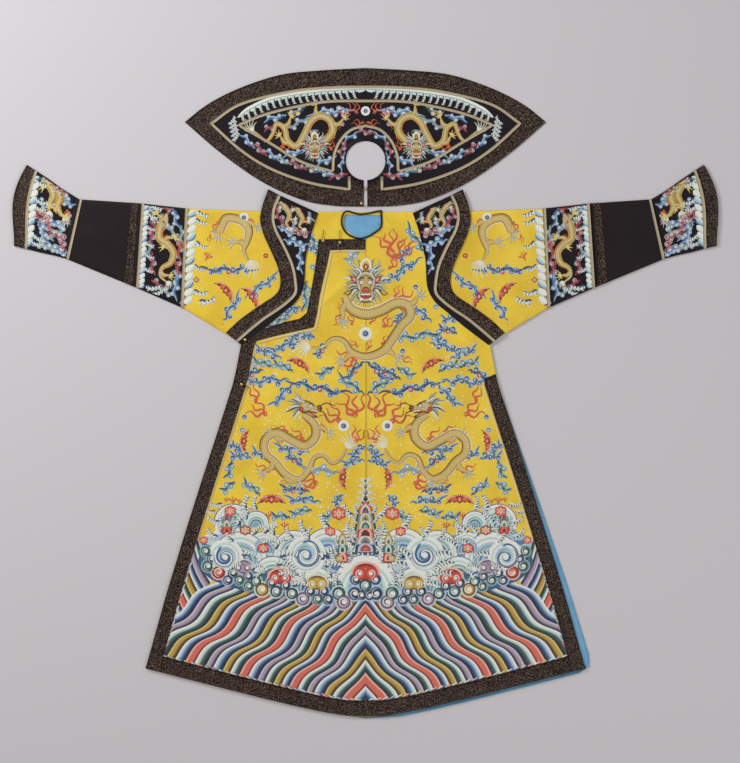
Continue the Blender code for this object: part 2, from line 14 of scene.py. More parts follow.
import bpy
import numpy as np
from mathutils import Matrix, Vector


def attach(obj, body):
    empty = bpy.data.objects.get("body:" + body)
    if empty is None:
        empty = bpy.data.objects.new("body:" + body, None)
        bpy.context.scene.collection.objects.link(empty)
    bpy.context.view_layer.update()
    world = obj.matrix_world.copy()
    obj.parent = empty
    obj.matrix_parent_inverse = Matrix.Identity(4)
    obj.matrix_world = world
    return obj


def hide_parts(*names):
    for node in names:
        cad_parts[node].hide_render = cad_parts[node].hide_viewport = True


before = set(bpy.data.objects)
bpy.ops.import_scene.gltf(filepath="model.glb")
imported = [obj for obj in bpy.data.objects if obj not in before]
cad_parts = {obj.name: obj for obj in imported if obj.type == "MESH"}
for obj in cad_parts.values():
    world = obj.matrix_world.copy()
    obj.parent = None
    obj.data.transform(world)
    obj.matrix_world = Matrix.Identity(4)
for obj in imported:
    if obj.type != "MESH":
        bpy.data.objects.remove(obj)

LOG = logging.getLogger("court_robe")
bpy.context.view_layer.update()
MM = 0.001
Array = np.ndarray
Colour = tuple[float, float, float]
Material = bpy.types.Material
Node = bpy.types.Node
Socket = bpy.types.NodeSocket
Tree = bpy.types.NodeTree
Object = bpy.types.Object


@dataclass(frozen=True)
class Readings:
    """Places read in the photograph or in an enlarged piece of it, turned into millimetres.

    A reading in pixels counts from the piece's upper left corner. The millimetres count from the robe's
    middle line and from its level of zero, upward. Places are rounded to some digits, lengths to a tenth.
    """

    corner: tuple[float, float] = (0.0, 0.0)
    enlarged: float = 1.0
    outward: bool = False
    middle: float = 365.9
    zero: float = 392.5
    scale: float = 2.7
    digits: int = 1

    def placed(self, columns: str, rows: list[tuple[float, ...]]) -> Array:
        """Turn a table of readings into a table of millimetres.

        Args:
            columns: A letter for each column: x and y are places, r is a length, n stays a plain number.
            rows: The readings; the numbers of a plain column are angles, counts or looks.

        Returns:
            The same table, its places and lengths in millimetres.
        """
        ways = {"x": self.across, "y": self.upward, "r": self.length, "n": float}
        return np.array([[ways[kind](value) for kind, value in zip(columns, row)] for row in rows])

    def across(self, value: float) -> float:
        """Distance from the middle line, to the right or, for a left part, outward."""
        if self.outward:
            return round((self.middle - value) * self.scale, self.digits)
        return round(((value / self.enlarged + self.corner[0]) - self.middle) * self.scale, self.digits)

    def upward(self, value: float) -> float:
        """Height above the level of zero."""
        return round((self.zero - (value / self.enlarged + self.corner[1])) * self.scale, self.digits)

    def length(self, value: float) -> float:
        """Length in millimetres."""
        return round(value / self.enlarged * self.scale, 1)


# The robe as a whole, its hem in a piece six times enlarged, that piece again for the scroll heads, whose
# places are whole millimetres, and the left sleeve, wing and half of the collar
ROBE_PHOTO = Readings()
HEM_PHOTO = Readings(corner=(140.0, 480.0), enlarged=6.0)
CURL_PHOTO = Readings(corner=HEM_PHOTO.corner, enlarged=HEM_PHOTO.enlarged, digits=0)
SIDE_PHOTO = Readings(outward=True)


class Side(Enum):
    """Side of the robe as seen from above; the value is the sign of x there."""

    LEFT = -1.0
    RIGHT = 1.0

    @property
    def word(self) -> str:
        """Word that ends the names of this side's pieces."""
        return self.name.lower()


# Thicknesses and heights of the layers, in millimetres, as the solids have them
CLOTH = 1.2
LINING = 1.0
BAND = 1.0
BRAID = 0.8
GAP = 0.3
LINING_Z = CLOTH + GAP
FLAP_Z = LINING_Z + LINING + GAP
FRONT_Z = FLAP_Z + CLOTH + GAP
FRONT_TOP = FRONT_Z + CLOTH
ON_FRONT = FRONT_TOP + 0.4
ON_WING = ON_FRONT + CLOTH + 0.4
EDGE_DROP = 9.0
# Factor by which the scene's creases are higher than their table says, as fine sharp folds show less
CREASE_GROWTH = 1.7
# Corners closer than half a millimetre are welded into one
WELD_PER_METRE = 2000.0
# Share of a wall's thickness by which its edge is rounded inward
WALL_INSET = 0.28
# Share of a sleeve's upright distance to its edge that is measured square to the edge
SQUARE_TO_EDGE = 0.88

SHOULDER_Y = 487.0
UNDERARM_Y = 127.0
HEM_MIDDLE_Y = -875.0
HEM_CORNER_Y = -744.0
HEM_HALF = 593.0
HEM_ROUND = 100.0
SIDE_BAND = 36.0
HEM_BAND = 42.0

# Half width of the front at each height
SIDE_TABLE = np.array([
    # y, half width
    (127.0, 336.0), (34.0, 354.0), (-88.0, 393.0), (-223.0, 437.0), (-371.0, 484.0), (-533.0, 534.0),
    (-744.0, 593.0),
])
# Seam between body and sleeve
ARMHOLE = np.array([
    # y, distance from the middle
    (487.0, 250.0), (455.0, 247.0), (420.0, 235.0), (385.0, 218.0), (331.0, 195.0), (296.0, 190.0),
    (270.0, 192.0), (236.0, 218.0), (206.0, 254.0), (172.0, 305.0), (142.0, 351.0), (127.0, 336.0),
])
NECK_RIGHT = np.array([
    # y, x
    (487.0, 46.0), (450.0, 47.0), (433.0, 32.0), (420.0, 5.0), (412.0, 0.3),
])
NECK_LEFT = np.array([
    # y, x
    (487.0, -52.0), (455.0, -61.0), (428.0, -47.0), (412.0, -18.0), (385.0, -4.0), (360.0, -4.0),
])
# Soft folds in the upper layer, the large ones that the solids have and finer creases between them
FOLDS = np.array([
    # x, y, to x, to y, half width, height
    (-118.0, 236.0, -50.0, 296.0, 16.0, 2.2), (-8.0, 60.0, -6.0, -290.0, 18.0, 1.6),
    (14.0, 20.0, 12.0, -220.0, 15.0, 1.2), (262.0, 140.0, 205.0, -40.0, 30.0, 2.4),
    (-215.0, 90.0, -190.0, -120.0, 32.0, 2.2), (160.0, -330.0, 215.0, -560.0, 40.0, 2.4),
    (-180.0, -300.0, -255.0, -560.0, 42.0, 2.4), (330.0, -260.0, 400.0, -520.0, 34.0, 2.0),
    (-330.0, -230.0, -395.0, -480.0, 34.0, 2.0), (70.0, 440.0, 95.0, 392.0, 13.0, 1.6),
    (60.0, 408.0, 120.0, 372.0, 12.0, 1.3), (395.0, 205.0, 420.0, 290.0, 22.0, 2.4),
    (-400.0, 205.0, -425.0, 300.0, 22.0, 2.6), (705.0, 430.0, 772.0, 372.0, 20.0, 2.0),
    (-700.0, 400.0, -760.0, 440.0, 20.0, 1.8),
])
CREASES = np.array([
    # x, y, to x, to y, half width, height
    (-122.0, 232.0, -44.0, 300.0, 3.0, 1.1), (-92.0, 300.0, -52.0, 268.0, 2.6, 0.8),
    (-3.0, 20.0, -4.0, -210.0, 3.4, 0.9), (8.0, -20.0, 7.0, -260.0, 3.0, 0.6),
    (262.0, 158.0, 335.0, 122.0, 4.0, 1.4), (240.0, 120.0, 300.0, 96.0, 4.0, 0.8),
    (48.0, 478.0, 82.0, 424.0, 3.2, 1.2), (48.0, 452.0, 108.0, 432.0, 3.2, 1.0),
    (-96.0, 462.0, -62.0, 486.0, 3.0, 0.9), (-130.0, 440.0, -70.0, 470.0, 4.0, 0.7),
    (362.0, 168.0, 392.0, 214.0, 4.0, 1.8), (392.0, 176.0, 408.0, 214.0, 3.2, 1.4),
    (424.0, 190.0, 452.0, 232.0, 4.0, 1.2), (-378.0, 168.0, -402.0, 206.0, 4.0, 1.6),
    (-408.0, 178.0, -436.0, 214.0, 3.4, 1.4), (-452.0, 202.0, -470.0, 236.0, 3.4, 0.9),
    (700.0, 424.0, 760.0, 366.0, 5.0, 1.0), (-690.0, 468.0, -640.0, 380.0, 7.0, 0.8),
    (150.0, 60.0, 250.0, -20.0, 8.0, 0.7), (-160.0, 110.0, -110.0, 20.0, 7.0, 0.7),
    (60.0, -380.0, 100.0, -560.0, 12.0, 0.9), (-80.0, -340.0, -120.0, -560.0, 12.0, 0.9),
    (300.0, -420.0, 340.0, -620.0, 14.0, 0.9), (-420.0, -420.0, -470.0, -640.0, 14.0, 0.9),
])


def ridges(table: Array, x: Array, y: Array) -> Array:
    """Add up rounded ridges: a bell curve across each line, which dies out towards both ends.

    Args:
        table: One row for each ridge: x, y, to x, to y, half width and height.
        x: Places in millimetres.
        y: Places in millimetres.

    Returns:
        Height at each place, in millimetres.
    """
    height = np.zeros(np.broadcast(x, y).shape)
    for x0, y0, x1, y1, half_width, top in table:
        length = math.hypot(x1 - x0, y1 - y0)
        ux, uy = (x1 - x0) / length, (y1 - y0) / length
        s = (x - x0) * ux + (y - y0) * uy
        off = -(x - x0) * uy + (y - y0) * ux
        beyond = np.maximum(0.0, np.abs(s - length / 2.0) - length / 4.0) / (length / 4.0)
        height += top * np.exp(-((off / half_width) ** 2)) * np.exp(-(beyond**2))
    return height


def relief(x: Array, y: Array) -> Array:
    """Height of the folds at each place, in millimetres."""
    return ridges(FOLDS, x, y)


def fine_relief(x: Array, y: Array) -> Array:
    """Height of the folds and the finer creases at each place, in millimetres."""
    return relief(x, y) + CREASE_GROWTH * ridges(CREASES, x, y)


def at_height(table: Array, y: Array) -> Array:
    """Read a table's second column at heights y, which fall down its first column."""
    return np.interp(-np.asarray(y), -table[:, 0], table[:, 1])


def hem_y(x: Array, drop: Array | float = 0.0) -> Array:
    """Height of the hem's edge: two straight slopes that meet in a hyperbola's round at the middle."""
    rise = np.hypot(x, HEM_ROUND) - HEM_ROUND
    most = math.hypot(HEM_HALF, HEM_ROUND) - HEM_ROUND
    return HEM_MIDDLE_Y + (HEM_CORNER_Y - HEM_MIDDLE_Y) * rise / most - drop


def droop(distance: Array, height: Array, low: float) -> Array:
    """Height of a layer that bends down to low in a quarter ellipse at a folded edge."""
    inside = np.clip(distance / EDGE_DROP, 0.0, 1.0)
    return low + (height - low) * np.sqrt(1.0 - (1.0 - inside) ** 2)


def smooth_line(table: Array, count: int) -> Array:
    """Catmull-Rom curve through a table's rows, as count points evenly spaced along it."""
    table = np.asarray(table, float)
    ends = np.vstack((2.0 * table[0] - table[1], table, 2.0 * table[-1] - table[-2]))
    t = np.linspace(0.0, 1.0, 13)[:-1, None]
    parts = []
    for p0, p1, p2, p3 in zip(ends[:-3], ends[1:-2], ends[2:-1], ends[3:]):
        cubic = 2.0 * p1 + (p2 - p0) * t + (2.0 * p0 - 5.0 * p1 + 4.0 * p2 - p3) * t**2
        parts.append(0.5 * (cubic + (3.0 * p1 - p0 - 3.0 * p2 + p3) * t**3))
    curve = np.vstack((*parts, table[-1:]))
    run = run_of(curve[:, :2])
    wanted = np.linspace(0.0, run[-1], count)
    return np.column_stack([np.interp(wanted, run, column) for column in curve.T])


def run_of(line: Array) -> Array:
    """Distance along a line at each of its points."""
    return np.concatenate(((0.0,), np.cumsum(np.hypot(*np.diff(line, axis=0)[:, :2].T))))


def resampled(line: Array, count: int) -> Array:
    """Straight stretches through a line's points, as count points evenly spaced along it."""
    run = run_of(line)
    wanted = np.linspace(0.0, run[-1], count)
    return np.column_stack([np.interp(wanted, run, column) for column in np.asarray(line, float).T])


def across(first: Array, last: Array, fractions: Array) -> Array:
    """Grid between two lines of as many points, at the given fractions from the first to the last."""
    f = np.asarray(fractions)[None, :, None]
    return first[:, None, :] * (1.0 - f) + last[:, None, :] * f


def normals_of(line: Array, closed: bool = False) -> Array:
    """Unit vectors to the left of a line at each of its points."""
    if closed:
        step = np.roll(line, -1, axis=0) - np.roll(line, 1, axis=0)
    else:
        step = np.gradient(line, axis=0)
    return np.column_stack((-step[:, 1], step[:, 0])) / np.maximum(np.hypot(*step.T), 1e-9)[:, None]


def finer(grid: Array, rows: int, columns: int) -> Array:
    """Grid read again at more rows and columns, along straight lines between its own points."""
    for axis, count in ((0, rows), (1, columns)):
        at = np.linspace(0.0, grid.shape[axis] - 1.0, (grid.shape[axis] - 1) * count + 1)
        low = np.minimum(at.astype(int), grid.shape[axis] - 2)
        part = (at - low).reshape([-1 if i == axis else 1 for i in range(grid.ndim)])
        grid = np.take(grid, low, axis) * (1.0 - part) + np.take(grid, low + 1, axis) * part
    return grid


@dataclass
class Patchwork:
    """Grids of points gathered into one mesh, with a colour, a thread direction map and faces for each."""

    points: list[Array] = field(default_factory=list)
    faces: list[Array] = field(default_factory=list)
    colours: list[Array] = field(default_factory=list)
    maps: list[Array] = field(default_factory=list)
    rims: list[Array] = field(default_factory=list)
    loop_maps: Array | None = None
    count: int = 0

    def add(self, grid: Array, colour: Array | Colour = (1.0, 1.0, 1.0), uv: Array | None = None,
            ring: bool = False, rim: bool = False) -> None:
        """Add a grid of rows and columns of points, which faces up where rows run left of the columns.

        Args:
            grid: Points in millimetres, rows by columns by 3.
            colour: One colour, or one for each point.
            uv: Map of each point in millimetres, or None for plain x and y.
            ring: Whether the last row joins the first.
            rim: Whether it is a wall's rim, which is shaded apart from its sheets.
        """
        rows, columns = grid.shape[:2]
        index = np.arange(rows * columns).reshape(rows, columns)
        if ring:
            index = np.vstack((index, index[:1]))
        quads = np.stack((index[:-1, :-1], index[1:, :-1], index[1:, 1:], index[:-1, 1:]),
                         axis=-1).reshape(-1, 4)
        self.points.append(grid.reshape(-1, 3))
        self.faces.append(quads + self.count)
        self.rims.append(np.full(len(quads), rim))
        self.colours.append(np.broadcast_to(np.asarray(colour, float), grid.shape).reshape(-1, 3))
        self.maps.append(grid[..., :2].reshape(-1, 2) if uv is None else np.asarray(uv).reshape(-1, 2))
        self.count += rows * columns

    def weld(self) -> None:
        """Join the points that lie on one another, so that a wall's sheets and rim close it."""
        points, quads = np.vstack(self.points), np.vstack(self.faces)
        keys = np.round(points * WELD_PER_METRE).astype(np.int64)
        _, first, back = np.unique(keys, axis=0, return_index=True, return_inverse=True)
        self.loop_maps = np.vstack(self.maps)[quads.ravel()]
        self.points, self.faces = [points[first]], [back.ravel()[quads]]
        self.colours = [np.vstack(self.colours)[first]]

    def object(self, name: str, finish: Material, slot: str, *replaced: str) -> Object:
        """Make one object of everything added, riding on the robe.

        Args:
            name: Name of the piece.
            finish: Its material.
            slot: Material slot of the record that it takes its finish from; not used.
            replaced: Nodes that it stands for.

        Returns:
            The object, at the origin, with its place in its mesh.
        """
        points, quads = np.vstack(self.points) * MM, np.vstack(self.faces)
        mesh = bpy.data.meshes.new(name)
        mesh.vertices.add(len(points))
        mesh.vertices.foreach_set("co", points.astype(np.float32).ravel())
        mesh.loops.add(quads.size)
        mesh.loops.foreach_set("vertex_index", quads.astype(np.int32).ravel())
        mesh.polygons.add(len(quads))
        mesh.polygons.foreach_set("loop_start", np.arange(0, quads.size, 4, dtype=np.int32))
        mesh.update(calc_edges=True)
        tint = mesh.attributes.new("thread", "FLOAT_COLOR", "POINT")
        rgba = np.column_stack((np.vstack(self.colours), np.ones(len(points))))
        tint.data.foreach_set("color", rgba.astype(np.float32).ravel())
        uv = mesh.uv_layers.new(name="weave")
        maps = np.vstack(self.maps)[quads.ravel()] if self.loop_maps is None else self.loop_maps
        uv.data.foreach_set("uv", (maps * MM).astype(np.float32).ravel())
        mesh.polygons.foreach_set("use_smooth", ~np.concatenate(self.rims))
        mesh.validate()
        mesh.materials.append(finish)
        piece = bpy.data.objects.new(name, mesh)
        bpy.context.scene.collection.objects.link(piece)
        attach(piece, "root")
        if replaced:
            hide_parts(*replaced)
        return piece


def wall_into(patches: Patchwork, xy: Array, low: Array, thickness: float, ring: bool = False) -> None:
    """Close a cloth wall: an upper and a lower sheet joined by a rim that bulges to a soft round edge.

    Args:
        patches: Where the wall's grids go.
        xy: Grid of places.
        low: Height of the underside at each of them.
        thickness: Thickness of the cloth.
        ring: Whether the last row joins the first.
    """
    first, second = xy[1, 0] - xy[0, 0], xy[0, 1] - xy[0, 0]
    if first[0] * second[1] - first[1] * second[0] < 0.0:
        xy, low = xy[:, ::-1], low[:, ::-1]
    inset = WALL_INSET * thickness
    rows = run_of(xy[:, 0])[:, None] + np.zeros(xy.shape[:2])
    columns = run_of(xy[0])[None, :] + np.zeros(xy.shape[:2])
    uv = np.dstack((rows, columns))
    top = np.dstack((xy, low + thickness))
    bottom = np.dstack((xy, low))
    patches.add(top, uv=uv, ring=ring)
    patches.add(bottom[:, ::-1], uv=uv[:, ::-1], ring=ring)
    edges = [(slice(None), 0, 1.0), (slice(None), -1, -1.0)]
    if not ring:
        edges += [(0, slice(None), -1.0), (-1, slice(None), 1.0)]
    for row, column, turn in edges:
        line, base = xy[row, column], low[row, column]
        bulge = normals_of(line, closed=ring) * inset * turn * -1.0
        middle = np.column_stack((line + bulge, base + thickness / 2.0))
        rim = np.stack((top[row, column], middle, bottom[row, column]), axis=1)
        flat = uv[row, column][:, None, :] + np.zeros((len(line), 3, 2))
        if turn < 0.0:
            rim, flat = rim[:, ::-1], flat[:, ::-1]
        patches.add(rim, uv=flat, ring=ring, rim=True)


def wall_piece(name: str, xy: Array, low: Array, thickness: float, finish: Material, slot: str,
               *replaced: str, ring: bool = False) -> Object:
    """Make one cloth wall as a piece of its own; see wall_into for its form."""
    patches = Patchwork()
    wall_into(patches, xy, low, thickness, ring)
    patches.weld()
    return patches.object(name, finish, slot, *replaced)


def set_node(tree: Tree, kind: str, settings: dict | None = None,
             **inputs: object) -> Node:
    """Add a node, set its properties, and set or link its inputs.

    Args:
        tree: Node tree that it goes in.
        kind: Type of node, without the word ShaderNode.
        settings: Properties of the node.
        inputs: Socket names with underscores for spaces, each a plain value or another node's output.

    Returns:
        The new node.
    """
    made = tree.nodes.new("ShaderNode" + kind)
    for key, value in (settings or {}).items():
        setattr(made, key, value)
    for key, value in inputs.items():
        wanted = key.replace("_", " ")
        found = [s for s in made.inputs if s.name == wanted and s.enabled]
        target = found[0] if found else made.inputs[int(key.rsplit("_", 1)[1])]
        if isinstance(value, bpy.types.NodeSocket):
            tree.links.new(value, target)
        else:
            target.default_value = value
    return made


def maths(tree: Tree, operation: str, first: object, second: object = 0.0,
          third: object = 0.0) -> Socket:
    """Output of one Math node on two or three numbers or sockets."""
    made = set_node(tree, "Math", {"operation": operation}, in_0=first, in_1=second, in_2=third)
    return made.outputs[0]


def mixed(tree: Tree, factor: object, first: object, second: object,
          blend: str = "MIX") -> Socket:
    """Output of one colour Mix node; plain colours have four values."""
    made = tree.nodes.new("ShaderNodeMix")
    made.data_type, made.blend_type = "RGBA", blend
    for place, value in ((0, factor), (6, first), (7, second)):
        if isinstance(value, bpy.types.NodeSocket):
            tree.links.new(value, made.inputs[place])
        else:
            made.inputs[place].default_value = value
    return made.outputs[2]


def new_group(name: str, inputs: dict[str, str], outputs: dict[str, str]) -> tuple[object, object, object]:
    """Start a shader node group with named sockets.

    Args:
        name: Name of the group.
        inputs: Name and kind of each input.
        outputs: Name and kind of each output.

    Returns:
        The group's tree, its input node and its output node.
    """
    tree = bpy.data.node_groups.new(name, "ShaderNodeTree")
    for sockets, way in ((inputs, "INPUT"), (outputs, "OUTPUT")):
        for label, kind in sockets.items():
            tree.interface.new_socket(label, in_out=way, socket_type="NodeSocket" + kind)
    return tree, tree.nodes.new("NodeGroupInput"), tree.nodes.new("NodeGroupOutput")


def weave_group() -> Tree:
    """Silk weave: crossed fine waves for warp and weft, with broad and fine unevenness of tone."""
    tree, source, sink = new_group("silk weave", {"Place": "Vector", "Threads": "Float", "Slant": "Float"},
                                   {"Height": "Float", "Tone": "Float"})
    place, threads = source.outputs["Place"], source.outputs["Threads"]
    turned = set_node(tree, "VectorRotate", {"rotation_type": "Z_AXIS"}, Vector=place,
                      Angle=source.outputs["Slant"]).outputs[0]
    warp = set_node(tree, "TexWave", {"bands_direction": "X"}, Vector=turned, Scale=threads, Distortion=0.6,
                    Detail=1.0).outputs["Fac"]
    weft = set_node(tree, "TexWave", {"bands_direction": "Y"}, Vector=turned, Scale=threads, Distortion=0.6,
                    Detail=1.0).outputs["Fac"]
    broad = set_node(tree, "TexNoise", None, Vector=place, Scale=9.0, Detail=3.0).outputs["Fac"]
    slub = set_node(tree, "TexNoise", None, Vector=place, Scale=420.0, Detail=2.0).outputs["Fac"]
    height = maths(tree, "MULTIPLY_ADD", weft, 0.45, maths(tree, "MULTIPLY", warp, 0.55))
    tree.links.new(height, sink.inputs["Height"])
    tone = maths(tree, "MULTIPLY_ADD", slub, 0.45, maths(tree, "MULTIPLY", broad, 0.55))
    tree.links.new(tone, sink.inputs["Tone"])
    return tree


def thread_group() -> Tree:
    """Satin stitch: streaks across the stitched line from the piece's own map, and tone that varies by
    thread."""
    tree, source, sink = new_group("stitched thread", {"Map": "Vector", "Pitch": "Float"},
                                   {"Height": "Float", "Tone": "Float"})
    stretched = set_node(tree, "VectorMath", {"operation": "MULTIPLY"}, in_0=source.outputs["Map"],
                         in_1=(1.0, 0.12, 1.0)).outputs[0]
    streak = set_node(tree, "TexNoise", None, Vector=stretched, Scale=source.outputs["Pitch"],
                      Detail=2.0).outputs["Fac"]
    wave = set_node(tree, "TexWave", {"bands_direction": "X"}, Vector=source.outputs["Map"],
                    Scale=maths(tree, "MULTIPLY", source.outputs["Pitch"], 0.4),
                    Distortion=1.5).outputs["Fac"]
    height = maths(tree, "MULTIPLY_ADD", wave, 0.5, maths(tree, "MULTIPLY", streak, 0.5))
    tree.links.new(height, sink.inputs["Height"])
    tree.links.new(streak, sink.inputs["Tone"])
    return tree


def scroll_group() -> Tree:
    """Woven scroll: rings round the middles of a scattered net of cells, broken up by noise into short
    curls."""
    tree, source, sink = new_group("woven scroll", {"Place": "Vector", "Size": "Float"}, {"Gold": "Float"})
    place = source.outputs["Place"]
    wobble = set_node(tree, "TexNoise", None, Vector=place, Scale=maths(tree, "MULTIPLY",
                                                                        source.outputs["Size"], 1.6),
                      Detail=2.0)
    cells = set_node(tree, "TexVoronoi", {"feature": "F1"}, Vector=place, Scale=source.outputs["Size"])
    rings = maths(tree, "SINE", maths(tree, "MULTIPLY_ADD", cells.outputs["Distance"], 15.0,
                                      maths(tree, "MULTIPLY", wobble.outputs["Fac"], 9.0)))
    curls = maths(tree, "GREATER_THAN", rings, 0.45)
    gaps = set_node(tree, "TexNoise", None, Vector=place, Scale=maths(tree, "MULTIPLY",
                                                                      source.outputs["Size"], 2.4),
                    Detail=1.0).outputs["Fac"]
    kept = maths(tree, "GREATER_THAN", gaps, 0.47)
    tree.links.new(maths(tree, "MULTIPLY", curls, kept), sink.inputs["Gold"])
    return tree


class Effects:
    """Shared node groups, each built once."""

    def __init__(self) -> None:
        """Build the groups."""
        self.weave = weave_group()
        self.thread = thread_group()
        self.scroll = scroll_group()


def start_material(name: str) -> tuple[Material, Tree, Node]:
    """New material with its tree and its Principled shader."""
    made = bpy.data.materials.new(name)
    made.use_nodes = True
    tree = made.node_tree
    return made, tree, tree.nodes["Principled BSDF"]


def place_group(tree: Tree, group: Tree, **inputs: object) -> Node:
    """Place a group in a tree and set or link its inputs by name."""
    made = tree.nodes.new("ShaderNodeGroup")
    made.node_tree = group
    for key, value in inputs.items():
        if isinstance(value, bpy.types.NodeSocket):
            tree.links.new(value, made.inputs[key])
        else:
            made.inputs[key].default_value = value
    return made


def rgba(colour: Colour) -> tuple[float, float, float, float]:
    """Linear colour with full cover."""
    return (*colour, 1.0)


def srgb(red: float, green: float, blue: float) -> Colour:
    """Linear colour from screen values of 0 to 255."""
    values = np.array((red, green, blue)) / 255.0
    linear = np.where(values <= 0.04045, values / 12.92, ((values + 0.055) / 1.055) ** 2.4)
    return tuple(float(v) for v in linear)


@dataclass(frozen=True)
class Cloth:
    """Woven cloth: two close tones, mixed by uneven tone and by broad patches of painted sheen, a fine weave
    in its bump, and a soft sheen.
    """

    name: str
    colour: Colour
    deep: Colour
    roughness: float = 0.45
    sheen: float = 0.25
    threads: float = 260.0
    slant: float = 0.6
    bump: float = 0.25
    specular: float = 0.4
    puckers: float = 0.0

    def make(self, effects: Effects) -> Material:
        """Build the material."""
        made, tree, shader = start_material(self.name)
        place = set_node(tree, "TexCoord").outputs["Object"]
        weave = place_group(tree, effects.weave, Place=place, Threads=self.threads, Slant=self.slant)
        tone = weave.outputs["Tone"]
        # Broad lighter and darker patches between the two tones are painted sheen: they stand in for the
        # cloth's uneven sheen
        sheen_noise = set_node(tree, "TexNoise", None, Vector=place, Scale=9.0, Detail=4.0).outputs[0]
        painted_sheen = maths(tree, "MULTIPLY_ADD", sheen_noise, 1.3, -0.42)
        colour = mixed(tree, maths(tree, "ADD", tone, painted_sheen), rgba(self.deep), rgba(self.colour))
        tree.links.new(self.decorate(tree, effects, place, colour), shader.inputs["Base Color"])
        rough = maths(tree, "MULTIPLY_ADD", tone, -0.16, self.roughness + 0.08)
        tree.links.new(rough, shader.inputs["Roughness"])
        bump = set_node(tree, "Bump", None, Strength=self.bump, Distance=0.0003,
                        Height=weave.outputs["Height"])
        if self.puckers:
            fold = set_node(tree, "TexNoise", None, Vector=place, Scale=16.0, Detail=2.0,
                            Distortion=1.2).outputs[0]
            bump = set_node(tree, "Bump", None, Strength=0.5, Distance=self.puckers, Height=fold,
                            Normal=bump.outputs[0])
        tree.links.new(bump.outputs[0], shader.inputs["Normal"])
        shader.inputs["Sheen Weight"].default_value = self.sheen
        shader.inputs["Sheen Roughness"].default_value = 0.35
        shader.inputs["Specular IOR Level"].default_value = self.specular
        return made

    def decorate(self, tree: Tree, effects: Effects, place: Socket,
                 colour: Socket) -> Socket:
        """Colour as it is; a figured cloth adds its figure here."""
        return colour


@dataclass(frozen=True)
class Brocade(Cloth):
    """Dark cloth with a small scroll woven in gold."""

    gold: Colour = (0.20, 0.135, 0.085)
    size: float = 120.0

    def decorate(self, tree: Tree, effects: Effects, place: Socket,
                 colour: Socket) -> Socket:
        """Lay the woven scroll over the ground's colour."""
        gold = place_group(tree, effects.scroll, Place=place, Size=self.size).outputs["Gold"]
        return mixed(tree, maths(tree, "MULTIPLY", gold, 0.72), colour, rgba(self.gold))


@dataclass(frozen=True)
class Braid:
    """Narrow woven braid: fine diagonal ribs of pale gold thread, darker between them."""

    name: str
    light: Colour
    dark: Colour
    ribs: float = 330.0

    def make(self, effects: Effects) -> Material:
        """Build the material."""
        made, tree, shader = start_material(self.name)
        where = set_node(tree, "UVMap", {"uv_map": "weave"}).outputs[0]
        ribs = set_node(tree, "TexWave", {"bands_direction": "DIAGONAL"}, Vector=where, Scale=self.ribs,
                        Distortion=0.8).outputs["Fac"]
        thread = place_group(tree, effects.thread, Map=where, Pitch=900.0)
        tone = maths(tree, "MULTIPLY_ADD", thread.outputs["Tone"], 0.5, maths(tree, "MULTIPLY", ribs, 0.5))
        tree.links.new(mixed(tree, tone, rgba(self.dark), rgba(self.light)), shader.inputs["Base Color"])
        bump = set_node(tree, "Bump", None, Strength=0.5, Distance=0.0004, Height=ribs)
        tree.links.new(bump.outputs[0], shader.inputs["Normal"])
        tree.links.new(maths(tree, "MULTIPLY_ADD", tone, -0.2, 0.55), shader.inputs["Roughness"])
        shader.inputs["Metallic"].default_value = 0.25
        shader.inputs["Sheen Weight"].default_value = 0.2
        return made


@dataclass(frozen=True)
class Stitch:
    """Embroidery thread in the colours that its mesh carries, streaked along each stitch."""

    name: str
    roughness: float = 0.42
    metallic: float = 0.0
    pitch: float = 1500.0
    contrast: float = 0.55
    scales: bool = False

    def make(self, effects: Effects) -> Material:
        """Build the material."""
        made, tree, shader = start_material(self.name)
        own = set_node(tree, "Attribute", {"attribute_name": "thread"}).outputs["Color"]
        where = set_node(tree, "UVMap", {"uv_map": "weave"}).outputs[0]
        thread = place_group(tree, effects.thread, Map=where, Pitch=self.pitch)
        tone = thread.outputs["Tone"]
        shade = mixed(tree, 1.0, own, (0.5, 0.5, 0.5, 1.0), "MULTIPLY")
        colour = mixed(tree, maths(tree, "MULTIPLY_ADD", tone, self.contrast, 0.75 - self.contrast / 2.0),
                       shade, own)
        height = thread.outputs["Height"]
        if self.scales:
            rings = set_node(tree, "TexVoronoi", {"feature": "DISTANCE_TO_EDGE"}, Vector=where, Scale=230.0,
                             Randomness=0.35).outputs["Distance"]
            edge = set_node(tree, "MapRange", None, Value=rings, From_Min=0.02, From_Max=0.16).outputs[0]
            colour = mixed(tree, edge, mixed(tree, 1.0, colour, (0.45, 0.33, 0.2, 1.0), "MULTIPLY"), colour)
            height = maths(tree, "MULTIPLY_ADD", edge, 1.2, height)
        tree.links.new(colour, shader.inputs["Base Color"])
        bump = set_node(tree, "Bump", None, Strength=0.4, Distance=0.0004, Height=height)
        tree.links.new(bump.outputs[0], shader.inputs["Normal"])
        tree.links.new(maths(tree, "MULTIPLY_ADD", tone, -0.2, self.roughness + 0.1),
                       shader.inputs["Roughness"])
        shader.inputs["Metallic"].default_value = self.metallic
        shader.inputs["Sheen Weight"].default_value = 0.15
        return made


